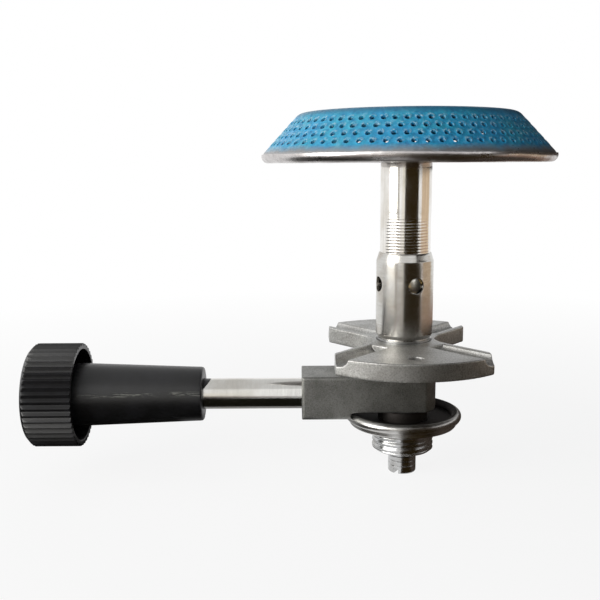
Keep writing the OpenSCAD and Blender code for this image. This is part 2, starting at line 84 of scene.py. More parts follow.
def roundCorners(points):
    # points are (radius, height) or (radius, height, corner radius), in order round a closed outline
    steps, mostOfSide = 3, 0.48
    outline = []
    for i, point in enumerate(points):
        here = Vector(point[:2])
        corner = point[2] if len(point) > 2 else 0
        before = Vector(points[i - 1][:2]) - here
        after = Vector(points[(i + 1) % len(points)][:2]) - here
        if corner == 0 or before.length == 0 or after.length == 0:
            outline.append(here)
            continue
        reach = corner / math.tan(before.angle(after) / 2)
        reach = min(reach, before.length * mostOfSide, after.length * mostOfSide)
        first, last = here + before.normalized() * reach, here + after.normalized() * reach
        for step in range(steps + 1):
            share = step / steps
            outline.append(first.lerp(here, share).lerp(here.lerp(last, share), share))
    return [tuple(p) for p in outline]


def splitRun(start, end, count):
    # evenly spaced points after start, up to and including end
    return [tuple(Vector(start).lerp(Vector(end), (i + 1) / count)) for i in range(count)]


def arcPoints(centre, radius, fromAngle, toAngle, count):
    angles = [math.radians(fromAngle + (toAngle - fromAngle) * i / count) for i in range(count + 1)]
    return [(centre[0] + radius * math.cos(a), centre[1] + radius * math.sin(a)) for a in angles]


def turnOutline(outline, columns, reachAt=None):
    # Revolves an outline about Z. Points on the axis become one vertex, and an outline that doesn't
    # start on the axis closes on itself.
    vertices, rings, faces = [], [], []
    for r, z in outline:
        if r < tiny:
            rings.append([len(vertices)])
            vertices.append((0, 0, z))
            continue
        rings.append(list(range(len(vertices), len(vertices) + columns)))
        for column in range(columns):
            angle = fullTurn * column / columns
            reach = reachAt(r, z, angle) if reachAt else r
            vertices.append((reach * math.cos(angle), reach * math.sin(angle), z))
    following = rings[1:] if len(rings[0]) == 1 else rings[1:] + rings[:1]
    for low, high in zip(rings, following):
        for column in range(columns):
            places = ((low, column), (low, column + 1), (high, column + 1), (high, column))
            corners = dict.fromkeys(ring[place % len(ring)] for ring, place in places)
            if len(corners) > 2:
                faces.append(tuple(corners))
    return vertices, faces


def piercedWall(stations, columns, holes, startAngle=0):
    # A turned wall with outer and inner faces. Each station is (outer point, inner point), and each hole is
    # (row, column, half height, half width, radius, rounding, lip), its first four in stations and columns.
    vertices, faces, known = [], [], {}

    def vertex(key, place):
        if key not in known:
            known[key] = len(vertices)
            vertices.append(tuple(place))
        return known[key]

    def onWall(side, row, column):
        r, z = stations[row][side]
        if r < tiny:
            return vertex((side, row, 0), (0, 0, z))
        angle = startAngle + fullTurn * column / columns
        return vertex((side, row, column % columns), (r * math.cos(angle), r * math.sin(angle), z))

    def addFace(corners, flip):
        corners = list(dict.fromkeys(corners))
        if len(corners) > 2:
            faces.append(corners[::-1] if flip else corners)

    covered = set()
    for row, column, high, wide, radius, rounding, lip in holes:
        covered |= {(row + i, (column + j) % columns) for i in range(-high, high) for j in range(-wide, wide)}
        border = [(-high, j) for j in range(-wide, wide)] + [(i, wide) for i in range(-high, high)]
        border += [(-i, -j) for i, j in border]
        angle = startAngle + fullTurn * column / columns
        radial = Vector((math.cos(angle), math.sin(angle), 0))
        along = Vector((-math.sin(angle), math.cos(angle), 0))
        rise = (Vector(stations[row + 1][0]) - Vector(stations[row - 1][0])).normalized()
        up = radial * rise.x + Vector((0, 0, rise.y))
        outward = along.cross(up)

        def ring(step, side, reach, sink):
            # one step of the hole's rounded edge, sunk into the wall and bent round it
            r, z = stations[row][side]
            centre = radial * r + Vector((0, 0, z))
            bend = r / max(0.1, outward.dot(radial))    # the wall's own radius, kept finite where it is flat
            made = []
            for i in range(len(border)):
                turn = math.atan2(-high, -wide) + fullTurn * i / len(border)
                across, above = reach * math.cos(turn), reach * math.sin(turn)
                drop = bend - math.sqrt(bend * bend - across * across)
                place = centre + along * across + up * above - outward * (drop + sink)
                made.append(vertex((step, row, column, i), place))
            return made

        edge = [(0, radius + 2.4 * rounding, 0), (0, radius + rounding, -lip),
                (0, radius + 0.3 * rounding, 0.3 * rounding - lip), (0, radius, rounding), (1, radius, 0)]
        outerLoop, innerLoop = [[onWall(side, row + i, column + j) for i, j in border] for side in (0, 1)]
        rings = [outerLoop] + [ring(i, *step) for i, step in enumerate(edge)] + [innerLoop]
        for first, second in zip(rings, rings[1:]):
            for i in range(len(border)):
                j = (i + 1) % len(border)
                addFace([first[i], first[j], second[j], second[i]], False)

    last = len(stations) - 1
    for row in range(last):
        for column in range(columns):
            if (row, column) in covered:
                continue
            for side in (0, 1):
                addFace([onWall(side, row, column), onWall(side, row, column + 1),
                         onWall(side, row + 1, column + 1), onWall(side, row + 1, column)], side == 1)
    for row in (0, last):
        for column in range(columns):
            addFace([onWall(0, row, column), onWall(0, row, column + 1),
                     onWall(1, row, column + 1), onWall(1, row, column)], row == 0)
    return vertices, faces


# The spindle's own frame: its height runs towards the knob and its X axis points up
spindleZ = (boxOf("spindle")[0].z + boxOf("spindle")[1].z) / 2
alongSpindle = Matrix(((0, 0, -1, 0), (0, 1, 0, 0), (1, 0, 0, spindleZ), (0, 0, 0, 1)))


def newMesh(name, vertices, faces):
    mesh = bpy.data.meshes.new(name)
    mesh.from_pydata(vertices, [], faces)
    return mesh


def addObject(name, data):
    made = bpy.data.objects.new(name, data)
    bpy.context.scene.collection.objects.link(made)
    return made


def addPiece(name, shape, body, nodes, finish, frameOf=None, sharpAngle=32):
    # makes one piece from vertices and faces in millimetres
    mesh = newMesh(name, *shape)
    if frameOf:
        mesh.transform(frameOf)
    mesh.transform(Matrix.Scale(mm, 4))
    return settle(name, mesh, body, nodes, finish, sharpAngle)


def settle(name, mesh, body, nodes, finish, sharpAngle=32):
    # shades a mesh in metres, smooth between its sharp edges, and hands it to its CAD body
    mesh.validate()
    piece = addObject(name, mesh)
    bpy.context.view_layer.objects.active = piece
    piece.select_set(True)
    bpy.ops.object.mode_set(mode="EDIT")
    bpy.ops.mesh.select_all(action="SELECT")
    bpy.ops.mesh.normals_make_consistent(inside=False)
    bpy.ops.object.mode_set(mode="OBJECT")
    piece.select_set(False)
    mesh.shade_smooth()
    mesh.set_sharp_from_angle(angle=math.radians(sharpAngle))
    even = piece.modifiers.new("evenShading", "WEIGHTED_NORMAL")
    even.keep_sharp = True
    mesh.materials.clear()
    mesh.materials.append(finish)
    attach(piece, body)
    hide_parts(*nodes)
    return piece


def bakeModifiers(piece):
    # returns the piece's mesh with its modifiers applied, and removes the piece
    bpy.context.view_layer.update()
    evaluated = piece.evaluated_get(bpy.context.evaluated_depsgraph_get())
    mesh = bpy.data.meshes.new_from_object(evaluated)
    bpy.data.objects.remove(piece)
    return mesh


def cutAway(shape, cutShape):
    # the first shape less the second, both in millimetres, as a mesh in metres
    blank = addObject("blank", newMesh("blank", *shape))
    cutter = addObject("cutter", newMesh("cutter", *cutShape))
    cut = blank.modifiers.new("cut", "BOOLEAN")
    cut.object, cut.operation, cut.solver = cutter, "DIFFERENCE", "EXACT"
    mesh = bakeModifiers(blank)
    bpy.data.objects.remove(cutter)
    mesh.transform(Matrix.Scale(mm, 4))
    return mesh


def prism(section, low, high):
    # a section of (x, z) points drawn out along Y
    count = len(section)
    vertices = [(x, y, z) for y in (low, high) for x, z in section]
    sides = [(i, i + count, (i + 1) % count + count, (i + 1) % count) for i in range(count)]
    return vertices, sides + [tuple(range(count)), tuple(range(count, 2 * count))[::-1]]


def addNode(tree, kind, values=None):
    # Adds a shader node. Each value is a property, an input's number or hex colour, or what to link there:
    # a socket, or a node for the first of its outputs that is in use.
    node = tree.nodes.new("ShaderNode" + kind)
    for name, value in (values or {}).items():
        if isinstance(value, bpy.types.Node):
            value = next(socket for socket in value.outputs if socket.enabled)
        if not isinstance(name, int) and name not in node.inputs:
            setattr(node, name, value)
        elif isinstance(value, bpy.types.NodeSocket):
            tree.links.new(value, node.inputs[name])
        else:
            node.inputs[name].default_value = linear(value) if isinstance(value, str) else value
    return node


def emptyTree(owner):
    owner.use_nodes = True
    owner.node_tree.nodes.clear()
    return owner.node_tree


def newFinish(name):
    material = bpy.data.materials.new(name)
    tree = emptyTree(material)
    return material, tree, addNode(tree, "TexCoord").outputs["Object"]


def finishWith(material, values):
    # gives the material a principled shader with these values
    tree = material.node_tree
    addNode(tree, "OutputMaterial", {"Surface": addNode(tree, "BsdfPrincipled", values)})
    return material


def pattern(tree, place, size, detail=3, roughness=0.55):
    # noise whose grains measure size, a number or (x, y, z), in millimetres
    sizes = size if isinstance(size, tuple) else (size, size, size)
    scaled = addNode(tree, "Mapping", {"Vector": place, "Scale": [1 / (s * mm) for s in sizes]})
    return addNode(tree, "TexNoise", {"Vector": scaled, "Scale": 1, "Detail": detail, "Roughness": roughness})


def layOver(tree, under, source, layer):
    # lays a colour over another; the layer is (colour, source value where it starts, where it is full, share)
    colour, start, full, share = layer
    mask = addNode(tree, "MapRange", {"Value": source, "From Min": start, "From Max": full, "To Max": share})
    return addNode(tree, "Mix", {"data_type": "RGBA", 0: mask, 6: under, 7: colour})


def raised(tree, layers):
    # a normal that stacks bumps of (pattern, depth in millimetres)
    values = {"Strength": 1}
    for source, depth in layers:
        values.update({"Height": source, "Distance": depth * mm})
        values["Normal"] = addNode(tree, "Bump", values)
    return values["Normal"]


def axisReach(tree, place):
    # distance from the burner's axis
    level = addNode(tree, "VectorMath", {"operation": "MULTIPLY", 0: place, 1: (1, 1, 0)})
    return addNode(tree, "VectorMath", {"operation": "LENGTH", 0: level})


def paintShadeZone(tree, place, under, zone):
    # paints shade: darkens what lies within a radius of the burner's axis and between two heights
    reach, foot, top, colour = zone
    axes = addNode(tree, "SeparateXYZ", {"Vector": place})
    within = addNode(tree, "Math", {"operation": "LESS_THAN", 0: axisReach(tree, place), 1: reach * mm})
    between = addNode(tree, "Math", {"operation": "COMPARE", 0: axes.outputs["Z"], 1: (foot + top) / 2 * mm,
                                     2: (top - foot) / 2 * mm})
    both = addNode(tree, "Math", {"operation": "MULTIPLY", 0: within, 1: between})
    return addNode(tree, "Mix", {"data_type": "RGBA", 0: both, 6: under, 7: colour})


def workedMetal(name, look):
    # a worked metal: fine tool marks set by their size in x, y and z, faint stains and uneven polish
    material, tree, place = newFinish(name)
    marks = pattern(tree, place, look["marks"], 4, 0.65)
    stains = pattern(tree, place, look["stains"])
    wave = pattern(tree, place, look["wave"], 2)
    base = layOver(tree, look["colour"], stains, (look["stain"], 0.42, 0.72, 1))
    base = layOver(tree, base, marks, (look["markColour"], 0.35, 0.7, look["markTint"]))
    # painted shade: the zone inside the head is darkened
    if "paintedShadeInside" in look:
        base = paintShadeZone(tree, place, base, look["paintedShadeInside"])
    low, high = look["roughness"]
    marked = addNode(tree, "MapRange", {"Value": marks, "From Min": noiseLow, "From Max": noiseHigh,
                                        "To Min": low, "To Max": (low + high) / 2})
    stained = addNode(tree, "MapRange", {"Value": stains, "From Min": 0.35, "From Max": 0.75,
                                         "To Max": (high - low) / 2})
    rough = addNode(tree, "Math", {"operation": "ADD", 0: marked, 1: stained})
    normal = raised(tree, [(marks, look["depth"]), (wave, look["waveDepth"])])
    return finishWith(material, {"Metallic": 1, "Base Color": base, "Normal": normal, "Roughness": rough})


def castMetal(name, look):
    # a casting left as blasted: a fine sandy grain, dark in its pits and pale in scattered grains; it can
    # take a painted highlight along sharp edges and painted shade in a zone
    material, tree, place = newFinish(name)
    grain = pattern(tree, place, look["grain"], 5, 0.7)
    coarse = pattern(tree, place, look["grain"] * 3.5)      # lumps a few grains wide
    cloud = pattern(tree, place, look["cloud"])
    base = layOver(tree, look["colour"], cloud, (look["cloudColour"], 0.35, 0.68, 1))
    base = layOver(tree, base, grain, (look["pit"], 0.52, 0.34, look["pitTint"]))
    base = layOver(tree, base, grain, (look["glint"], 0.58, 0.72, look["glintTint"]))
    # painted highlight: sharp edges made paler, standing in for light caught on their rounded edges
    if "edgeHighlight" in look:
        edge = addNode(tree, "NewGeometry").outputs["Pointiness"]
        base = layOver(tree, base, edge, (look["glint"], 0.53, 0.66, look["edgeHighlight"]))
    # painted shade: a zone round the axis is darkened where shade falls
    if "paintedShade" in look:
        base = paintShadeZone(tree, place, base, look["paintedShade"])
    low, high = look["roughness"]
    rough = addNode(tree, "MapRange", {"Value": grain, "From Min": 0.35, "From Max": 0.65, "To Min": high,
                                       "To Max": low})
    normal = raised(tree, [(coarse, look["coarseDepth"]), (grain, look["grainDepth"])])
    return finishWith(material, {"Metallic": look["metallic"], "Base Color": base, "Normal": normal,
                                 "Roughness": rough})


def softFinish(name, look):
    # a moulded or pressed non-metal: a slightly uneven matte skin with faint clouds
    material, tree, place = newFinish(name)
    skin = pattern(tree, place, look["skin"], 4)
    cloud = pattern(tree, place, look["cloud"])
    base = layOver(tree, look["colour"], cloud, (look["cloudColour"], 0.38, 0.68, 1))
    low, high = look["roughness"]
    rough = addNode(tree, "MapRange", {"Value": skin, "From Min": noiseLow, "From Max": noiseHigh,
                                       "To Min": low, "To Max": high})
    normal = raised(tree, [(skin, look["depth"])])
    return finishWith(material, {"IOR": look["ior"], "Base Color": base, "Normal": normal,
                                 "Roughness": rough})


# nickel plate, polished lengthwise: mirror-bright and slightly warm, with thin upright streaks
nickelPlate = workedMetal("nickelPlate", {
    "marks": (0.5, 0.5, 14), "stains": 7, "wave": (2.4, 2.4, 30), "colour": "#EFEDE9",
    "stain": "#DAD5CC", "markColour": "#C9C3BA", "markTint": 0.35, "roughness": (0.1, 0.24),
    "depth": 0.002, "waveDepth": 0.02,
})
# turned stainless steel: a grey satin with fine rings from the lathe tool
turnedStainless = workedMetal("turnedStainless", {
    "marks": (5, 5, 0.22), "stains": 6, "wave": (2.2, 2.2, 18), "colour": "#D0CFCB",
    "stain": "#B9B3AA", "markColour": "#A8A39B", "markTint": 0.4, "roughness": (0.15, 0.3),
    "depth": 0.004, "waveDepth": 0.03,
})
# turned mild steel, zinc plated: brighter than stainless and a little blue, with tool rings
zincPlatedSteel = workedMetal("zincPlatedSteel", {
    "marks": (4, 4, 0.18), "stains": 4, "wave": 2.5, "colour": "#D4D5D6",
    "stain": "#9E9C98", "markColour": "#8F8E8C", "markTint": 0.45, "roughness": (0.16, 0.34),
    "depth": 0.005, "waveDepth": 0.02,
})
# ground steel bar: smooth and bright with faint grinding lines round it
groundBar = workedMetal("groundBar", {
    "marks": (0.2, 6, 6), "stains": 8, "wave": (20, 3, 3), "colour": "#E6E5E1",
    "stain": "#D4D1CA", "markColour": "#BEBCB6", "markTint": 0.3, "roughness": (0.12, 0.24),
    "depth": 0.002, "waveDepth": 0.02,
})
# galvanised sheet rolled round the cap: a cloudy soft satin, painted dark inside the head as shade;
# each painted shade zone is given as (radius, foot, top, colour)
galvanisedSheet = workedMetal("galvanisedSheet", {
    "marks": (1.2, 1.2, 0.4), "stains": 7, "wave": 3.2, "colour": "#D6D2D1",
    "stain": "#A9A5A4", "markColour": "#9C9896", "markTint": 0.35, "roughness": (0.22, 0.4),
    "depth": 0.01, "waveDepth": 0.08,
    "paintedShadeInside": (32, boxOf("burner_pan")[0].z + 0.2, boxOf("burner_cap")[1].z, "#1D1B1B"),
})
# turned brass: warm yellow with tool rings
turnedBrass = workedMetal("turnedBrass", {
    "marks": (3, 3, 0.2), "stains": 3, "wave": 2, "colour": "#E3C583", "stain": "#B08A4A",
    "markColour": "#9C7A40", "markTint": 0.4, "roughness": (0.2, 0.36),
    "depth": 0.004, "waveDepth": 0.02,
})
# annealed copper: dull orange-red with brown spots
annealedCopper = workedMetal("annealedCopper", {
    "marks": 0.4, "stains": 2, "wave": 2, "colour": "#D99470", "stain": "#8A5238",
    "markColour": "#A9684A", "markTint": 0.4, "roughness": (0.3, 0.48),
    "depth": 0.006, "waveDepth": 0.02,
})
# sintered bronze: little fused balls, dull brown and porous
sinteredBronze = castMetal("sinteredBronze", {
    "metallic": 1, "grain": 0.22, "cloud": 2, "colour": "#A97C4C", "cloudColour": "#8C6238",
    "pit": "#3E2A16", "pitTint": 0.8, "glint": "#D9B27C", "glintTint": 0.5,
    "roughness": (0.4, 0.6), "coarseDepth": 0.02, "grainDepth": 0.06,
})
# die-cast zinc alloy, tumbled: dark even grey with a fine dry grain, and painted shade down in the dish
castZinc = castMetal("castZinc", {
    "metallic": 0.9, "grain": 0.3, "cloud": 5, "colour": "#969693", "cloudColour": "#82827F",
    "pit": "#45453F", "pitTint": 0.5, "glint": "#D5D5CF", "glintTint": 0.4,
    "roughness": (0.4, 0.55), "coarseDepth": 0.03, "grainDepth": 0.045, "paintedShade": (6.6, 0, 5.2, "#4A4644"),
})
# sand-cast alloy, shot-blasted: paler grey with a coarse sparkling grain, a painted highlight along its edges
# and painted shade round the sleeve's foot
blastedCasting = castMetal("blastedCasting", {
    "metallic": 0.9, "grain": 0.38, "cloud": 6, "colour": "#BDBDBB", "cloudColour": "#A6A5A2",
    "pit": "#55534D", "pitTint": 0.55, "glint": "#EDEDEA", "glintTint": 0.6, "edgeHighlight": 0.3,
    "roughness": (0.36, 0.52), "coarseDepth": 0.04, "grainDepth": 0.06, "paintedShade": (7.2, 0, 30, "#3A3936"),
})
# vulcanised fibre: hard brown-grey card with a dry surface
vulcanFibre = softFinish("vulcanFibre", {
    "ior": 1.5, "skin": 0.3, "cloud": 2, "colour": "#6A5248", "cloudColour": "#574239",
    "roughness": (0.55, 0.75), "depth": 0.02,
})
# moulded nitrile rubber: near black, dull, faintly dusty
nitrileRubber = softFinish("nitrileRubber", {
    "ior": 1.52, "skin": 0.35, "cloud": 3, "colour": "#191919", "cloudColour": "#242424",
    "roughness": (0.6, 0.8), "depth": 0.02,
})


def makePressedDish():
    # pressed steel sheet, tumbled: the rolled edge keeps its bright steel, and the hollow inside is dull and
    # painted dark as shade
    look = {
        "edge": "#CBCAC8", "stain": "#9A9692", "hollow": "#34302E", "scratchSize": 0.5, "stainSize": 5,
        "hollowReach": 13.9, "edgeReach": 14.5, "floorTop": 1.15, "edgeRoughness": 0.26,
        "hollowRoughness": 0.68, "scratchRoughness": 0.1, "scratchDepth": 0.008, "dentDepth": 0.06,
    }
    material, tree, place = newFinish("pressedDish")
    scratches = pattern(tree, place, look["scratchSize"], 4, 0.65)
    stains = pattern(tree, place, look["stainSize"])
    axes, reach = addNode(tree, "SeparateXYZ", {"Vector": place}), axisReach(tree, place)
    outward = addNode(tree, "MapRange", {"Value": reach, "From Min": look["hollowReach"] * mm,
                                         "From Max": look["edgeReach"] * mm})
    under = addNode(tree, "Math", {"operation": "LESS_THAN", 0: axes.outputs["Z"], 1: look["floorTop"] * mm})
    paleMask = addNode(tree, "Math", {"operation": "MAXIMUM", 0: outward, 1: under})
    edge = layOver(tree, look["edge"], stains, (look["stain"], 0.42, 0.72, 1))
    # painted shade: inside the rolled edge the dish is painted dark, apart from its underside
    base = addNode(tree, "Mix", {"data_type": "RGBA", 0: paleMask, 6: look["hollow"], 7: edge})
    polish = addNode(tree, "MapRange", {"Value": paleMask, "To Min": look["hollowRoughness"],
                                        "To Max": look["edgeRoughness"]})
    scratched = addNode(tree, "MapRange", {"Value": scratches, "From Min": noiseLow, "From Max": noiseHigh,
                                           "To Max": look["scratchRoughness"]})
    rough = addNode(tree, "Math", {"operation": "ADD", 0: polish, 1: scratched})
    normal = raised(tree, [(scratches, look["scratchDepth"]), (stains, look["dentDepth"])])
    return finishWith(material, {"Metallic": 1, "Base Color": base, "Normal": normal, "Roughness": rough})


headSizes = {
    "slope": math.radians(47.3),    # of the cone above the horizontal
    "fold": 1.7, "crown": 3,        # outside radii at the rim and where the cone meets the top
    "panSheet": 0.4, "capSheet": 0.7, "foot": boxOf("burner_pan")[0].z, "rimRise": 2.1,
    "panFlat": (6.02, 12, 30), "capFlange": (31.3, 33),     # radii along the pan's and the cap's flat
    "holes": 72, "rows": 4, "firstRow": 6.5, "rowPitch": 2.3, "holeRadius": 0.6,
    "holeEdge": 0.09, "holeLip": 0.05,
}


def holeDistance(tree, place):
    # distance in metres from the nearest flame hole's centre, and 1 where that place is inside the rows
    sizes = headSizes
    rowZ = [(sizes["foot"] + (sizes["firstRow"] + i * sizes["rowPitch"]) * math.sin(sizes["slope"])) * mm
            for i in (0, 1)]
    axes = addNode(tree, "SeparateXYZ", {"Vector": place})
    along = addNode(tree, "MapRange", {"clamp": False, "Value": axes.outputs["Z"], "From Min": rowZ[0],
                                       "From Max": rowZ[1]})
    row = addNode(tree, "Math", {"operation": "ROUND", 0: along})
    fromRow = addNode(tree, "Math", {"operation": "SUBTRACT", 0: along, 1: row})
    rise = addNode(tree, "Math", {"operation": "MULTIPLY", 0: fromRow, 1: sizes["rowPitch"] * mm})
    turn = addNode(tree, "Math", {"operation": "ARCTAN2", 0: axes.outputs["Y"], 1: axes.outputs["X"]})
    stagger = addNode(tree, "Math", {"operation": "MULTIPLY", 0: row, 1: 0.5})
    around = addNode(tree, "Math", {"operation": "MULTIPLY_ADD", 0: turn,
                                    1: sizes["holes"] / fullTurn, 2: stagger})
    column = addNode(tree, "Math", {"operation": "ROUND", 0: around})
    fromColumn = addNode(tree, "Math", {"operation": "SUBTRACT", 0: around, 1: column})
    pitch = addNode(tree, "Math", {"operation": "MULTIPLY", 0: axisReach(tree, place),
                                   1: fullTurn / sizes["holes"]})
    across = addNode(tree, "Math", {"operation": "MULTIPLY", 0: fromColumn, 1: pitch})
    offset = addNode(tree, "CombineXYZ", {"X": across, "Y": rise})
    distance = addNode(tree, "VectorMath", {"operation": "LENGTH", 0: offset})
    inRows = addNode(tree, "Math", {"operation": "COMPARE", 0: along, 1: (sizes["rows"] - 1) / 2,
                                    2: sizes["rows"] / 2})
    return distance, inRows


def makeFiredEnamel():
    # Thin vitreous enamel fired on steel: glassy blue that pools darker and pales where it is thin, with
    # painted highlights as pale specked rings round the holes, and gives out in an uneven line above the rim,
    # where grey steel shows.
    look = {
        "blue": "#2BA5DA", "teal": ("#34B0D4", 0.4, 0.62, 1), "pooled": ("#1A7AB0", 0.52, 0.34, 0.8),
        "pale": ("#7FC4E8", 0.58, 0.74, 0.7), "paintedGlint": "#BFE3F2", "steel": "#A3A4A6", "steelMetallic": 0.8,
        "topShade": "#2D6E8F", "topShadeShare": 0.75, "topShadeFrom": 1.6, "topShadeTo": 0.6,
        "patch": 7, "mottle": 1.3, "speck": 0.45, "roughness": (0.26, 0.48),
        "fadeStart": 2.0, "fadeEnd": 3.5, "fadeWave": 5, "waveHeight": 1.6, "holeEdge": 0.62,
        "holeFade": 1.02, "ringBreak": (0.46, 0.66), "ringShare": 0.85,
        "patchDepth": 0.25, "mottleDepth": 0.14, "speckDepth": 0.04,
    }
    material, tree, place = newFinish("firedEnamel")
    patch = pattern(tree, place, look["patch"])
    mottle = pattern(tree, place, look["mottle"], 4, 0.62)
    speck = pattern(tree, place, look["speck"])
    base = layOver(tree, look["blue"], patch, look["teal"])
    base = layOver(tree, base, mottle, look["pooled"])
    base = layOver(tree, base, mottle, look["pale"])
    # painted highlights: pale rings round the holes, broken up into specks, standing in for glints off the
    # holes' edges
    distance, inRows = holeDistance(tree, place)
    near = addNode(tree, "MapRange", {"Value": distance, "From Min": look["holeEdge"] * mm,
                                      "From Max": look["holeFade"] * mm, "To Min": 1, "To Max": 0})
    broken = addNode(tree, "MapRange", {"Value": speck, "From Min": look["ringBreak"][0],
                                        "From Max": look["ringBreak"][1], "To Max": look["ringShare"]})
    ring = addNode(tree, "Math", {"operation": "MULTIPLY", 0: near, 1: inRows})
    glintMask = addNode(tree, "Math", {"operation": "MULTIPLY", 0: ring, 1: broken})
    base = addNode(tree, "Mix", {"data_type": "RGBA", 0: glintMask, 6: base, 7: look["paintedGlint"]})
    # the top is painted darker as shade, and the foot is bare below an uneven line
    height = addNode(tree, "SeparateXYZ", {"Vector": place}).outputs["Z"]
    foot, top = boxOf("burner_cap")[0].z - look["waveHeight"] / 2, boxOf("burner_cap")[1].z
    base = layOver(tree, base, height, (look["topShade"], (top - look["topShadeFrom"]) * mm,
                                        (top - look["topShadeTo"]) * mm, look["topShadeShare"]))
    uneven = pattern(tree, place, look["fadeWave"], 4, 0.6)
    waved = addNode(tree, "Math", {"operation": "MULTIPLY_ADD", 0: uneven, 1: -look["waveHeight"] * mm,
                                   2: height})
    bare = addNode(tree, "MapRange", {"Value": waved, "From Min": (foot + look["fadeStart"]) * mm,
                                      "From Max": (foot + look["fadeEnd"]) * mm, "To Min": 1,
                                      "To Max": 0})
    base = addNode(tree, "Mix", {"data_type": "RGBA", 0: bare, 6: base, 7: look["steel"]})
    metallic = addNode(tree, "MapRange", {"Value": bare, "To Max": look["steelMetallic"]})
    low, high = look["roughness"]
    rough = addNode(tree, "MapRange", {"Value": mottle, "From Min": noiseLow, "From Max": noiseHigh,
                                       "To Min": high, "To Max": low})
    normal = raised(tree, [(patch, look["patchDepth"]), (mottle, look["mottleDepth"]),
                           (speck, look["speckDepth"])])
    return finishWith(material, {"IOR": 1.5, "Base Color": base, "Metallic": metallic, "Roughness": rough,
                                 "Normal": normal})


def makeKnobPlastic():
    # moulded phenolic plastic: matte black, with a line of grey scuffs along the front of the neck that is
    # partly a painted highlight
    look = {
        "black": "#0F0F10", "dust": ("#1A1A1D", 0.4, 0.7, 1), "scuffAndSheen": "#83847D", "skin": 0.4, "cloud": 6,
        "scuffSize": (5, 0.5, 0.35), "scuffHeight": 1.8, "scuffBand": 0.8, "scuffFront": (-4, -6),
        "neckEnd": (-84, -82), "scuffRange": (0.5, 0.62), "scuffShare": 0.95, "roughness": (0.3, 0.44),
        "cloudDepth": 0.06, "skinDepth": 0.012,
    }
    material, tree, place = newFinish("knobPlastic")
    skin = pattern(tree, place, look["skin"], 4)
    cloud = pattern(tree, place, look["cloud"])
    base = layOver(tree, look["black"], cloud, look["dust"])
    axes = addNode(tree, "SeparateXYZ", {"Vector": place})
    offset = addNode(tree, "Math", {"operation": "SUBTRACT", 0: axes.outputs["Z"],
                                    1: (spindleZ + look["scuffHeight"]) * mm})
    away = addNode(tree, "Math", {"operation": "ABSOLUTE", 0: offset})
    scuffSheenMask = addNode(tree, "MapRange", {"Value": away, "From Max": look["scuffBand"] * mm,
                                      "To Min": 1, "To Max": 0})
    paleMask = pattern(tree, place, look["scuffSize"], 4, 0.7)
    limits = [(axes.outputs["Y"], [y * mm for y in look["scuffFront"]], 1),
              (axes.outputs["X"], [x * mm for x in look["neckEnd"]], 1),
              (paleMask, look["scuffRange"], look["scuffShare"])]
    for source, (start, full), share in limits:
        mask = addNode(tree, "MapRange", {"Value": source, "From Min": start, "From Max": full,
                                          "To Max": share})
        scuffSheenMask = addNode(tree, "Math", {"operation": "MULTIPLY", 0: scuffSheenMask, 1: mask})
    # scuffs and painted highlight: grey along a line at the front of the neck
    base = addNode(tree, "Mix", {"data_type": "RGBA", 0: scuffSheenMask, 6: base, 7: look["scuffAndSheen"]})
    low, high = look["roughness"]
    rough = addNode(tree, "MapRange", {"Value": skin, "From Min": noiseLow, "From Max": noiseHigh,
                                       "To Min": low, "To Max": high})
    normal = raised(tree, [(cloud, look["cloudDepth"]), (skin, look["skinDepth"])])
    return finishWith(material, {"IOR": 1.55, "Base Color": base, "Roughness": rough, "Normal": normal})


pressedDish, firedEnamel, knobPlastic = makePressedDish(), makeFiredEnamel(), makeKnobPlastic()
print("finishes made")


def headPoint(kind, value, inset):
    # a point of the head's section: along the foot, round the fold, up the cone, round the crown, on top
    slope, fold, crown, foot = (headSizes[size] for size in ("slope", "fold", "crown", "foot"))
    reach = boxOf("burner_pan")[1].x
    height = boxOf("burner_cap")[1].z + headSizes["panSheet"] - foot
    corner = reach - fold + fold / math.tan(slope / 2)
    if kind == "foot":
        return value, foot + inset
    if kind == "fold":
        angle = math.radians(value)
        return reach - fold + (fold - inset) * math.cos(angle), foot + fold + (fold - inset) * math.sin(angle)
    if kind == "cone":
        return (corner - value * math.cos(slope) - inset * math.sin(slope),
                foot + value * math.sin(slope) - inset * math.cos(slope))
    crownReach = corner - height / math.tan(slope) - crown * math.tan(slope / 2)
    if kind == "crown":
        angle = math.radians(value)
        return (crownReach + (crown - inset) * math.cos(angle),
                foot + height - crown + (crown - inset) * math.sin(angle))
    return crownReach * value, foot + height - inset


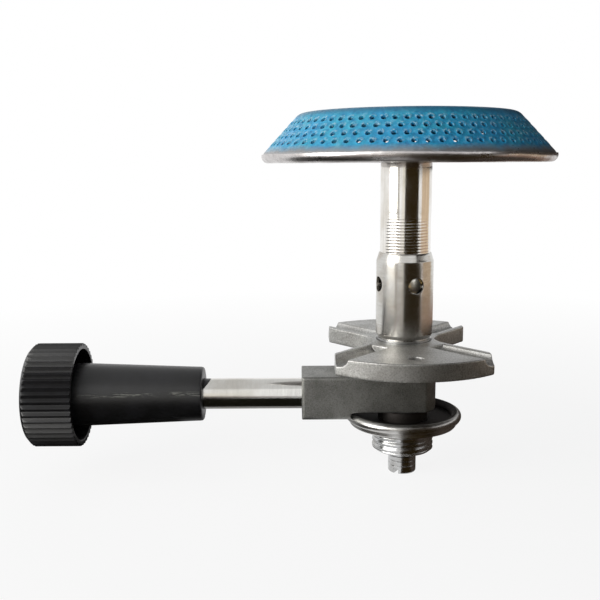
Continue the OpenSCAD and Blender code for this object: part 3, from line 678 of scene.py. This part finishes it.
def makeBurnerCap():
    # pressed cap with its staggered rows of flame holes, each with a rounded, slightly raised edge
    sizes = headSizes
    halfCell, coneSteps, foldSteps, crownSteps = 2, 3, 8, 6
    slopeAngle = 90 - math.degrees(sizes["slope"])
    cell = sizes["rowPitch"] / (2 * halfCell)
    coneStart = sizes["fold"] / math.tan(sizes["slope"] / 2)
    holesStart = sizes["firstRow"] - halfCell * cell
    line = [("foot", r) for r in sizes["capFlange"]]
    line += [("fold", -90 + (90 + slopeAngle) * i / foldSteps) for i in range(foldSteps + 1)]
    line += [("cone", coneStart + (holesStart - coneStart) * i / coneSteps) for i in range(1, coneSteps)]
    firstCell = len(line)
    line += [("cone", holesStart + cell * i) for i in range(sizes["rows"] * 2 * halfCell + 1)]
    line += [("crown", slopeAngle + (90 - slopeAngle) * i / crownSteps) for i in range(crownSteps + 1)]
    line += [("top", share) for share in (0.97, 0.9, 0.7, 0.4, 0.15, 0)]
    outer, inner = sizes["panSheet"], sizes["panSheet"] + sizes["capSheet"]
    stations = [(headPoint(kind, value, outer), headPoint(kind, value, inner)) for kind, value in line]
    holes = []
    for row in range(sizes["rows"]):
        for i in range(sizes["holes"]):
            holes.append((firstCell + halfCell * (2 * row + 1), 2 * halfCell * i + halfCell * (row % 2),
                          halfCell, halfCell, sizes["holeRadius"], sizes["holeEdge"], sizes["holeLip"]))
    shape = piercedWall(stations, 2 * halfCell * sizes["holes"], holes)
    return addPiece("burnerCap", shape, "burner", ["burner_cap"], firedEnamel)


def makePanRim():
    # flat pan whose edge is rolled up round the cap by hand, so its lip runs a little uneven
    wave = {"height": 0.2, "inset": 2, "run": 3, "slow": 2.3, "quick": 5.1}
    fold, lipSteps, columns = headSizes["fold"], 14, 288
    lipAngle = math.degrees(math.asin((headSizes["rimRise"] - fold) / fold))
    line = [("foot", r) for r in headSizes["panFlat"]]
    line += [("fold", -90 + (lipAngle + 90) * i / lipSteps) for i in range(lipSteps + 1)]
    outline = [headPoint(kind, value, 0) for kind, value in line]
    outline += [headPoint(kind, value, headSizes["panSheet"]) for kind, value in reversed(line)]
    vertices, faces = turnOutline(outline, columns)
    waveFrom = headPoint("fold", 0, fold)[0] - wave["inset"]
    waved = []
    for x, y, z in vertices:
        r = math.hypot(x, y)
        if r > waveFrom:
            around = Vector((x, y, 0)) / r
            swell = noise.noise(around * wave["slow"]) + 0.5 * noise.noise(around * wave["quick"])
            z += wave["height"] * swell * smoothStep((r - waveFrom) / wave["run"])
        waved.append((x, y, z))
    return addPiece("panRim", (waved, faces), "burner", ["burner_pan"], galvanisedSheet)


makeBurnerCap()
makePanRim()
print("burner head made")


def threadForm(z, angle, thread):
    # how far the thread's flank lies below its crest at this height and angle
    flankMiddle = 0.54
    turns = (z - thread["start"]) / thread["pitch"] - angle / fullTurn
    form = abs(2 * (turns % 1) - 1)
    form = min(1, max(0, flankMiddle + thread["steepness"] * (form - 0.5)))
    fade = smoothStep(min(z - thread["start"], thread["end"] - z) / thread["runOut"])
    return thread["depth"] * (1 - form) * fade


def makeMixingTube():
    # plated tube with a fine thread at its foot, and a neck that goes through the pan
    sizes = {"wall": 1.1, "neck": 5.95, "neckEdge": 0.15, "threadReach": 6.42, "threadBefore": 2,
             "threadShow": 9.9, "threadStep": 0.3, "rowsPerTurn": 10, "edge": 0.2, "edgeCut": 0.06,
             "plainRows": 10, "boreRows": 12, "columns": 144}
    low, high = boxOf("mixing_tube")
    r, bore, neck, edge = high.x, high.x - sizes["wall"], sizes["neck"], sizes["edge"]
    threadReach, threadEnd = sizes["threadReach"], boxOf("air_sleeve")[1].z + sizes["threadShow"]
    thread = {"pitch": 0.75, "depth": 0.032, "steepness": 2.2, "start": low.z - sizes["threadBefore"],
              "end": threadEnd, "runOut": 2.4}
    rows = int((threadEnd - low.z) / thread["pitch"] * sizes["rowsPerTurn"])
    outline = [(bore, low.z), (threadReach, low.z)]
    outline += splitRun((threadReach, low.z), (threadReach, threadEnd), rows)
    outline += [(r, threadEnd + sizes["threadStep"])]
    outline += splitRun(outline[-1], (r, headSizes["foot"] - edge), sizes["plainRows"])
    outline += [(r - sizes["edgeCut"], headSizes["foot"] - sizes["edgeCut"]), (r - edge, headSizes["foot"]),
                (neck, headSizes["foot"]), (neck, high.z - sizes["neckEdge"]),
                (neck - sizes["neckEdge"], high.z), (bore, high.z)]
    outline += splitRun((bore, high.z), (bore, low.z), sizes["boreRows"])[:-1]

    def reachAt(reach, z, angle):
        return reach - threadForm(z, angle, thread) if abs(reach - threadReach) < tiny else reach

    shape = turnOutline(outline, sizes["columns"], reachAt)
    return addPiece("mixingTube", shape, "burner", ["mixing_tube"], nickelPlate)


def makeAirSleeve():
    # turned sleeve with its drilled air holes; the wall is thinner round the air chamber
    sizes = {
        "socket": 5.06, "socketTop": 29.3, "chamber": 5.9, "chamberStep": 0.1, "tubeBore": 6.4,
        "tubeBoreFoot": 39.7, "tubeBoreStep": 0.05, "shoulder": 6.6, "shoulderEdge": (0.08, 0.12), "taper": 2,
        "holeUp": 14.1, "hole": 1.9, "holeEdge": 0.14, "firstHole": -90 + 16, "holes": 4, "columns": 96,
        # (inset, height above it): a seam and a rounded chamfer at the foot, and the taper's start
        "foot": ((1, 0), (1, 0.3), (0.46, 0.33), (0.4, 0.42), (0.12, 1.04), (0.03, 1.16), (0, 1.36)),
        "taperStart": ((0.03, 0), (0.1, 0.15)),
        "halfRows": 5, "cell": 0.5, "footRows": 4, "chamberRows": 5, "upperRows": 3, "taperRows": 4,
    }
    low, high = boxOf("air_sleeve")
    r = high.x
    chamberFoot = sizes["socketTop"] + sizes["chamberStep"]
    boreFoot = sizes["tubeBoreFoot"] + sizes["tubeBoreStep"]
    inside = [(sizes["socket"], low.z), (sizes["socket"], sizes["socketTop"]),
              (sizes["chamber"], chamberFoot), (sizes["chamber"], sizes["tubeBoreFoot"]),
              (sizes["tubeBore"], boreFoot), (sizes["tubeBore"], high.z)]

    def insideAt(z):
        for (r1, z1), (r2, z2) in zip(inside, inside[1:]):
            if z <= z2:
                return r1 + (r2 - r1) * max(0, z - z1) / (z2 - z1), z
        return inside[-1][0], z

    halfRows, cell = sizes["halfRows"], sizes["cell"]
    holeZ = low.z + sizes["holeUp"]
    taperFoot = high.z - sizes["taper"]
    topIn, topDown = sizes["shoulderEdge"]
    outside = [(r - inset, low.z + up) for inset, up in sizes["foot"]]
    outside += splitRun(outside[-1], (r, sizes["socketTop"]), sizes["footRows"])
    outside += [(r, chamberFoot)]
    outside += splitRun(outside[-1], (r, holeZ - halfRows * cell), sizes["chamberRows"])
    holeRow = len(outside) - 1 + halfRows
    outside += splitRun(outside[-1], (r, holeZ + halfRows * cell), 2 * halfRows)
    outside += [(r, boreFoot)]
    outside += splitRun(outside[-1], (r, taperFoot - sizes["taperStart"][-1][1]), sizes["upperRows"])
    outside += [(r - inset, taperFoot + up) for inset, up in sizes["taperStart"]]
    outside += splitRun(outside[-1], (sizes["shoulder"] + topIn, high.z - topDown), sizes["taperRows"])
    outside += [(sizes["shoulder"], high.z)]
    stations = [(point, insideAt(point[1])) for point in outside]
    holes = [(holeRow, sizes["columns"] // sizes["holes"] * i, halfRows, halfRows, sizes["hole"],
              sizes["holeEdge"], 0) for i in range(sizes["holes"])]
    shape = piercedWall(stations, sizes["columns"], holes, math.radians(sizes["firstHole"]))
    return addPiece("airSleeve", shape, "burner", ["air_sleeve"], turnedStainless)


makeMixingTube()
makeAirSleeve()
print("tube and sleeve made")


def makeCasting(name, node, look, finish):
    # the CAD solid remade as one skin whose edges are softened as a mould and blasting leave them
    rough = addObject(name + "Rough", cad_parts[node].data.copy())
    skin = rough.modifiers.new("skin", "REMESH")
    skin.mode, skin.voxel_size = "VOXEL", look["voxel"] * mm
    soften = rough.modifiers.new("soften", "SMOOTH")
    soften.factor, soften.iterations = 0.5, look["soften"]
    thin = rough.modifiers.new("thin", "DECIMATE")
    thin.ratio = look["keep"]
    return settle(name, bakeModifiers(rough), "burner", [node], finish, sharpAngle=60)


makeCasting("panSupport", "pan_support", {"voxel": 0.2, "soften": 5, "keep": 0.35}, blastedCasting)
makeCasting("valveBody", "valve_body", {"voxel": 0.17, "soften": 5, "keep": 0.35}, castZinc)
print("castings made")


def makeSeatingDish():
    # pressed dish with its edge rolled outward; the roll shows a crease where it meets the floor
    sizes = {"hole": 4.56, "sheet": 1.2, "bead": 1.25, "roll": (-76, 205), "rollSteps": 26, "columns": 144,
             # (out from the bead's centre, height, corner radius)
             "crease": ((-0.9, 0), (-0.25, 0, 0.2), (0, 0.3, 0.1), (0.02, 1.02))}
    low, high = boxOf("seating_dish")
    centre = (high.x - sizes["bead"], high.z - sizes["bead"])
    outline = [(sizes["hole"], low.z)]
    outline += [(centre[0] + out, low.z + up, *corner) for out, up, *corner in sizes["crease"]]
    outline += arcPoints(centre, sizes["bead"], *sizes["roll"], sizes["rollSteps"])
    outline += [(sizes["hole"], low.z + sizes["sheet"])]
    shape = turnOutline(roundCorners(outline), sizes["columns"])
    return addPiece("seatingDish", shape, "burner", ["seating_dish"], pressedDish)


def makeBottleConnector():
    # threaded stub that screws into the bottle, recessed underneath for its seal
    sizes = {"bore": 1.2, "neck": 4.5, "neckEdge": 0.2, "socket": 2.55, "socketDepth": 5.2, "recess": 6.16,
             "recessDepth": 1.4, "chamfer": 0.7, "footEdge": 0.25, "footRise": 0.1, "topEdge": (0.25, 0.12),
             "threadFoot": 0.5, "threadTop": 0.05, "threadOutside": 0.4, "threadRows": 78,
             "chamferRows": 8, "columns": 144}
    low, high = boxOf("bottle_connector")
    r = high.x
    threadedFrom = sizes["recess"] + sizes["threadOutside"]
    topIn, topDown = sizes["topEdge"]
    recessTop, socketTop = low.z + sizes["recessDepth"], low.z + sizes["socketDepth"]
    thread = {"pitch": 1.5, "depth": 0.36, "steepness": 1.2, "start": low.z + sizes["threadFoot"],
              "end": -sizes["threadTop"], "runOut": 0.9}
    outline = [(sizes["bore"], high.z), (sizes["neck"], high.z, sizes["neckEdge"]), (sizes["neck"], 0),
               (r - topIn, 0), (r, -topDown)]
    outline += splitRun(outline[-1], (r, low.z + sizes["chamfer"]), sizes["threadRows"])
    outline += splitRun(outline[-1], (r - sizes["chamfer"], low.z + sizes["footRise"]), sizes["chamferRows"])
    outline += [(r - sizes["chamfer"] - sizes["footEdge"], low.z), (sizes["recess"], low.z),
                (sizes["recess"], recessTop), (sizes["socket"], recessTop),
                (sizes["socket"], socketTop), (sizes["bore"], socketTop)]

    def reachAt(reach, z, angle):
        return min(reach, r - threadForm(z, angle, thread)) if reach > threadedFrom else reach

    shape = turnOutline(roundCorners(outline), sizes["columns"], reachAt)
    return addPiece("bottleConnector", shape, "burner", ["bottle_connector"], zincPlatedSteel)


def makeOpeningPin():
    # turned pin with a screwdriver slot across its end
    sizes = {"bore": 0.9, "shank": 2.5, "shankLength": 3.6, "edge": 0.45, "shoulderEdge": 0.1,
             "slotWidth": 1.4, "slotDepth": 1.5, "slotTurn": math.radians(-33), "grooves": 3,
             "firstGroove": 0.6, "groovePitch": 1.3, "grooveDepth": 0.1, "grooveHalf": 0.14,
             "cutPast": 1, "columns": 96}
    low, high = boxOf("opening_pin")
    r, slotTop, shoulder = high.x, low.z + sizes["slotDepth"], high.z - sizes["shankLength"]
    outline = [(sizes["bore"], low.z), (r, low.z, sizes["edge"])]
    for i in range(sizes["grooves"]):
        z = slotTop + sizes["firstGroove"] + i * sizes["groovePitch"]
        outline += [(r, z - sizes["grooveHalf"]), (r - sizes["grooveDepth"], z), (r, z + sizes["grooveHalf"])]
    outline += [(r, shoulder, sizes["shoulderEdge"]), (sizes["shank"], shoulder), (sizes["shank"], high.z),
                (sizes["bore"], high.z)]
    half, cutFoot = sizes["slotWidth"] / 2, low.z - sizes["cutPast"]
    vertices, faces = prism([(-half, cutFoot), (half, cutFoot), (half, slotTop), (-half, slotTop)],
                            -2 * r, 2 * r)
    turned = Matrix.Rotation(sizes["slotTurn"], 4, "Z")
    slot = [tuple(turned @ Vector(v)) for v in vertices], faces
    mesh = cutAway(turnOutline(roundCorners(outline), sizes["columns"]), slot)
    return settle("openingPin", mesh, "burner", ["opening_pin"], zincPlatedSteel)


makeSeatingDish()
makeBottleConnector()
makeOpeningPin()
print("dish, connector and pin made")


rodSizes = {"r": 4, "flatStart": 50.3, "flatDepth": 2, "play": 0.1}


def flatAt(station):
    # distance from the spindle's axis to the flat, which slopes in at its start
    return rodSizes["r"] - min(rodSizes["flatDepth"], max(0, station - rodSizes["flatStart"]))


def makeSpindle():
    # ground rod with its needle thread inside the valve and a flat at the knob's end
    sizes = {"stub": 0.8, "thread": 2.45, "threadStart": 8.5, "shoulder": 17, "relief": 0.6, "edge": 0.4,
             "flatRun": 0.2, "flatFacing": 0.3, "flatFrom": 3, "threadRows": 80, "plainRows": 16,
             "flatRows": 40, "endRows": 12, "columns": 192}
    low, high = boxOf("spindle")
    start, end = -high.x, -low.x
    r, edge, shoulder, threadR = rodSizes["r"], sizes["edge"], sizes["shoulder"], sizes["thread"]
    flatStart = rodSizes["flatStart"] - sizes["flatRun"]
    flatEnd = rodSizes["flatStart"] + rodSizes["flatDepth"] + sizes["flatRun"]
    thread = {"pitch": 0.8, "depth": 0.4, "steepness": 1.2, "start": sizes["threadStart"],
              "end": shoulder - sizes["relief"], "runOut": 0.8}
    outline = [(0, start), (sizes["stub"], start), (sizes["stub"], thread["start"]),
               (threadR, thread["start"])]
    outline += splitRun(outline[-1], (threadR, shoulder), sizes["threadRows"])
    outline += [(r - edge, shoulder), (r, shoulder + edge)]
    outline += splitRun(outline[-1], (r, flatStart), sizes["plainRows"])
    outline += splitRun(outline[-1], (r, flatEnd), sizes["flatRows"])
    outline += splitRun(outline[-1], (r, end - edge), sizes["endRows"])
    outline += [(r - edge, end), (0, end)]

    def reachAt(reach, station, angle):
        if abs(reach - threadR) < tiny:
            return reach - threadForm(station, angle, thread)
        facing = math.cos(angle)
        onFlat = facing > sizes["flatFacing"] and reach > sizes["flatFrom"]
        return min(reach, flatAt(station) / facing) if onFlat else reach

    shape = turnOutline(outline, sizes["columns"], reachAt)
    return addPiece("spindleRod", shape, "control", ["spindle"], groundBar, alongSpindle)


def tongueShape(firstVertex, r, start, end):
    # the tongue that fills the rod's flat and stands out of the knob's neck
    sizes = {"across": 17, "rampRows": 21, "rampStep": 0.1, "slack": 0.05, "least": 0.02}
    across = sizes["across"]
    stations = [start + sizes["rampStep"] * i for i in range(sizes["rampRows"])] + [end]
    vertices = []
    for station in stations:
        floor = min(r - sizes["least"], flatAt(station - rodSizes["play"]) + sizes["slack"])
        half = math.acos(floor / r)
        for i in range(across):
            angle = half * (2 * i / (across - 1) - 1)
            vertices.append((r * math.cos(angle), r * math.sin(angle), station))
    rows = [[firstVertex + k * across + i for i in range(across)] for k in range(len(stations))]
    faces = [(low[i - 1], low[i], high[i], high[i - 1]) for low, high in zip(rows, rows[1:])
             for i in range(across)]
    return vertices, faces + [tuple(rows[0]), tuple(rows[-1])]


def makeKnob():
    # moulded knob: a ribbed rim with a hollow behind it, round a tapered neck
    sizes = {
        "neckTip": 7, "neckRoot": 8.2, "neck": 31.8, "tipEdge": 0.7, "tipPast": 1.9, "bore": 4.05,
        "boreDepth": 35.95, "ribs": 48, "ribDepth": 0.78, "ribRound": 1.3, "wall": 1.55, "hollow": 10.2,
        "hollowEdges": (0.3, 0.2), "chamfer": 1.2, "chamferRise": 0.08, "endEdge": 0.25, "endRing": 4,
        "edge": 0.35, "edgeRun": 0.6, "ribInset": 0.35, "tongue": 4, "tipRun": 1, "neckRows": 20,
        "rimRows": 10, "chamferRows": 4, "ribColumns": 8,
    }
    low, high = boxOf("knob")
    r = (high.y - low.y) / 2
    end = -low.x
    tip = rodSizes["flatStart"] + sizes["tipPast"]
    rim = tip + sizes["neck"]
    hollowFoot, boreEnd = rim + sizes["hollow"], tip + sizes["boreDepth"]
    hollowR, chamferR = r - sizes["wall"], r - sizes["chamfer"]
    growth = (sizes["neckRoot"] - sizes["neckTip"]) / sizes["neck"]
    rootR = sizes["neckRoot"] + growth * sizes["hollow"]
    floorEdge, mouthEdge = sizes["hollowEdges"]
    outline = [(0, boreEnd), (sizes["bore"], boreEnd), (sizes["bore"], tip),
               (sizes["neckTip"] + growth * sizes["tipRun"] / 2, tip, sizes["tipEdge"])]
    outline += splitRun((sizes["neckTip"] + growth * sizes["tipRun"], tip + sizes["tipRun"]),
                        (rootR, hollowFoot), sizes["neckRows"])
    outline += [(hollowR, hollowFoot, floorEdge), (hollowR, rim, mouthEdge), (r, rim, sizes["edge"])]
    outline += splitRun((r, rim + sizes["edgeRun"]), (r, end - sizes["chamfer"]), sizes["rimRows"])
    outline += splitRun(outline[-1], (chamferR, end - sizes["chamferRise"]), sizes["chamferRows"])
    outline += [(chamferR - sizes["endEdge"], end), (sizes["endRing"], end), (0, end)]

    def reachAt(reach, station, angle):
        if reach < hollowR + sizes["ribInset"]:
            return reach
        valley = abs(2 * (angle / fullTurn * sizes["ribs"] % 1) - 1)
        return min(reach, r - sizes["ribDepth"] * (1 - valley ** sizes["ribRound"]))

    vertices, faces = turnOutline(roundCorners(outline), sizes["ribColumns"] * sizes["ribs"], reachAt)
    tongue = tongueShape(len(vertices), sizes["bore"] - rodSizes["play"],
                         rodSizes["flatStart"] + rodSizes["play"], tip + sizes["tongue"])
    shape = vertices + tongue[0], faces + tongue[1]
    return addPiece("knobMoulding", shape, "control", ["knob"], knobPlastic, alongSpindle,
                    sharpAngle=28)


makeSpindle()
makeKnob()
print("spindle and knob made")


keptFinishes = {
    "bottle_seal": nitrileRubber, "sealing_pad": nitrileRubber, "spindle_seals": nitrileRubber,
    "inlet_filter": sinteredBronze, "jet_filter": sinteredBronze, "connector_seal": vulcanFibre,
    "valve_seat": turnedBrass, "pad_carrier": turnedBrass, "jet": turnedBrass,
    "jet_washer": annealedCopper, "support_washer": zincPlatedSteel,
    "head_washer": zincPlatedSteel, "head_nut": zincPlatedSteel,
}
for node, finish in keptFinishes.items():
    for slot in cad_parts[node].material_slots:
        slot.material = finish
print("kept solids finished:", len(keptFinishes))


def seenDirectly(tree):
    # 1 for rays from the camera, off glossy metal or through glass
    path = addNode(tree, "LightPath")
    either = addNode(tree, "Math", {"operation": "MAXIMUM", 0: path.outputs["Is Camera Ray"],
                                    1: path.outputs["Is Glossy Ray"]})
    return addNode(tree, "Math", {"operation": "MAXIMUM", 0: either, 1: path.outputs["Is Transmission Ray"]})


def makeWorld():
    look = {"background": "#FFFFFF", "ambient": "#E4ECF4", "ambientStrength": 0.12}
    world = bpy.data.worlds.new("studio")
    bpy.context.scene.world = world
    tree = emptyTree(world)
    white = addNode(tree, "Background", {"Color": look["background"], "Strength": 1})
    ambient = addNode(tree, "Background", {"Color": look["ambient"], "Strength": look["ambientStrength"]})
    mixed = addNode(tree, "MixShader", {0: seenDirectly(tree), 1: ambient, 2: white})
    addNode(tree, "OutputWorld", {"Surface": mixed})


def makeFloor():
    # white where it is looked at, with the object's shadow kept close round it; lengths in metres
    look = {"size": 3, "drop": 0.0002, "colour": "#F2F2F2", "shadeShare": 0.12, "shadeFrom": 0.09,
            "shadeTo": 0.32}
    material = bpy.data.materials.new("paleFloor")
    tree = emptyTree(material)
    matte = addNode(tree, "BsdfDiffuse", {"Color": look["colour"]})
    glow = addNode(tree, "Emission", {"Strength": 1})
    place = addNode(tree, "TexCoord").outputs["Object"]
    reach = addNode(tree, "VectorMath", {"operation": "LENGTH", 0: place})
    white = addNode(tree, "MapRange", {"Value": reach, "From Min": look["shadeFrom"],
                                       "From Max": look["shadeTo"], "To Min": 1 - look["shadeShare"]})
    share = addNode(tree, "Math", {"operation": "MULTIPLY", 0: seenDirectly(tree), 1: white})
    mixed = addNode(tree, "MixShader", {0: share, 1: matte, 2: glow})
    addNode(tree, "OutputMaterial", {"Surface": mixed})
    half, z = look["size"] / 2, cadLow.z - look["drop"]
    corners = [(-half, -half, z), (half, -half, z), (half, half, z), (-half, half, z)]
    mesh = newMesh("floor", corners, [(0, 1, 2, 3)])
    mesh.materials.append(material)
    addObject("floor", mesh)


def addCard(name, rows, colour):
    # a studio card that only polished surfaces see, made from rows of points in metres
    material = bpy.data.materials.new(name)
    tree = emptyTree(material)
    glow = addNode(tree, "Emission", {"Color": colour, "Strength": 1})
    addNode(tree, "OutputMaterial", {"Surface": glow})
    across = len(rows[0])
    faces = [(i, i + 1, i + 1 + across, i + across)
             for k in range(len(rows) - 1) for i in range(k * across, (k + 1) * across - 1)]
    mesh = newMesh(name, [point for row in rows for point in row], faces)
    mesh.materials.append(material)
    card = addObject(name, mesh)
    for kind in ("camera", "diffuse", "transmission", "shadow", "volume_scatter"):
        setattr(card, "visible_" + kind, False)


def curvedCard(name, fromAngle, toAngle, path, colour):
    # path is (radius, height); angles are in degrees from the camera's side, growing to the right
    steps = 16
    angles = [math.radians(fromAngle + (toAngle - fromAngle) * i / steps) for i in range(steps + 1)]
    addCard(name, [[(radius * math.sin(a), -radius * math.cos(a), z) for a in angles] for radius, z in path],
            colour)


def flatCard(name, xRange, yRange, z, colour):
    addCard(name, [[(x, y, z) for x in xRange] for y in yRange], colour)


def addLamp(name, place, target, size, power, colour):
    lamp = bpy.data.lights.new(name, "AREA")
    lamp.size, lamp.energy, lamp.color = size, power, linear(colour)[:3]
    holder = addObject(name, lamp)
    holder.location = place
    holder.rotation_euler = (Vector(target) - Vector(place)).to_track_quat("-Z", "Y").to_euler()


def makeStudio():
    makeWorld()
    makeFloor()
    ground = cadLow.z
    curvedCard("frontDark", -12, 50, [(0.004, ground), (0.1, ground), (0.1, 0.075)], "#2B210F")
    curvedCard("frontDarkLow", 50, 58, [(0.1, ground), (0.1, 0.038)], "#2B210F")
    curvedCard("frontEdge", -22, -13, [(0.3, ground), (0.3, 0.09)], "#FFFBF0")
    curvedCard("leftGrey", -48, -36, [(0.3, ground), (0.3, 0.09)], "#B4B0AA")
    curvedCard("leftFloor", -50, -13, [(0.12, ground), (0.3, ground)], "#A69C95")
    curvedCard("underRim", -80, -12, [(0.08, ground), (0.11, ground)], "#3A3532")
    curvedCard("rightWarm", 66, 118, [(0.3, ground), (0.3, 0.09)], "#D6BFA4")
    curvedCard("rightFloorFar", 50, 170, [(0.16, ground), (0.29, ground)], "#9B7F6E")
    curvedCard("rightFloorNear", 50, 170, [(0.004, ground), (0.16, ground)], "#4A423C")
    curvedCard("rightLow", 40, 170, [(0.05, ground), (0.05, 0.018)], "#3A332E")
    curvedCard("rightUpper", 40, 175, [(0.065, 0.0655), (0.065, 0.11)], "#3A3634")
    flatCard("ceilingLeft", (-0.6, 0.02), (-0.4, 0.6), 0.42, "#D8D8D8")
    flatCard("ceilingRight", (0.02, 0.6), (-0.4, 0.6), 0.42, "#484848")
    flatCard("underRod", (-0.06, -0.02), (-0.06, 0.002), ground, "#15140F")
    flatCard("behindRod", (-0.06, -0.02), (0.002, 0.05), ground, "#8F8F8F")
    flatCard("underKnob", (-0.3, -0.06), (-0.19, 0.06), ground, "#15140F")
    addLamp("keyLamp", (-0.6, -0.35, 0.17), (-0.02, 0, 0.03), 0.6, 5.5, "#FFFDF8")
    addLamp("topLamp", (-0.42, 0.1, 0.62), (0, 0, 0.03), 0.6, 0.7, "#F6FAFF")


def makeCamera():
    # angles in radians; the focal length is in pixels of an image this wide
    view = {"place": (-27.82, -208.69, 67.2), "pitch": 0.163147, "yaw": 0.004246, "roll": -0.005098,
            "focal": 819.9, "imageWidth": 600, "sensor": 36, "near": 0.01, "far": 20}
    pitch, yaw, roll = view["pitch"], view["yaw"], view["roll"]
    ahead = Vector((math.sin(yaw) * math.cos(pitch), math.cos(yaw) * math.cos(pitch), -math.sin(pitch)))
    level = Vector((math.cos(yaw), -math.sin(yaw), 0))
    upright = level.cross(ahead)
    right = level * math.cos(roll) + upright * math.sin(roll)
    up = upright * math.cos(roll) - level * math.sin(roll)
    lens = bpy.data.cameras.new("camera")
    lens.sensor_width = view["sensor"]
    lens.lens = view["focal"] / view["imageWidth"] * view["sensor"]
    lens.clip_start, lens.clip_end = view["near"], view["far"]
    camera = addObject("camera", lens)
    camera.matrix_world = Matrix.Translation(Vector(view["place"]) * mm) @ Matrix(
        (right, up, -ahead)).transposed().to_4x4()
    bpy.context.scene.camera = camera


makeStudio()
makeCamera()
bpy.context.scene.view_settings.view_transform = "Standard"
print("studio set")
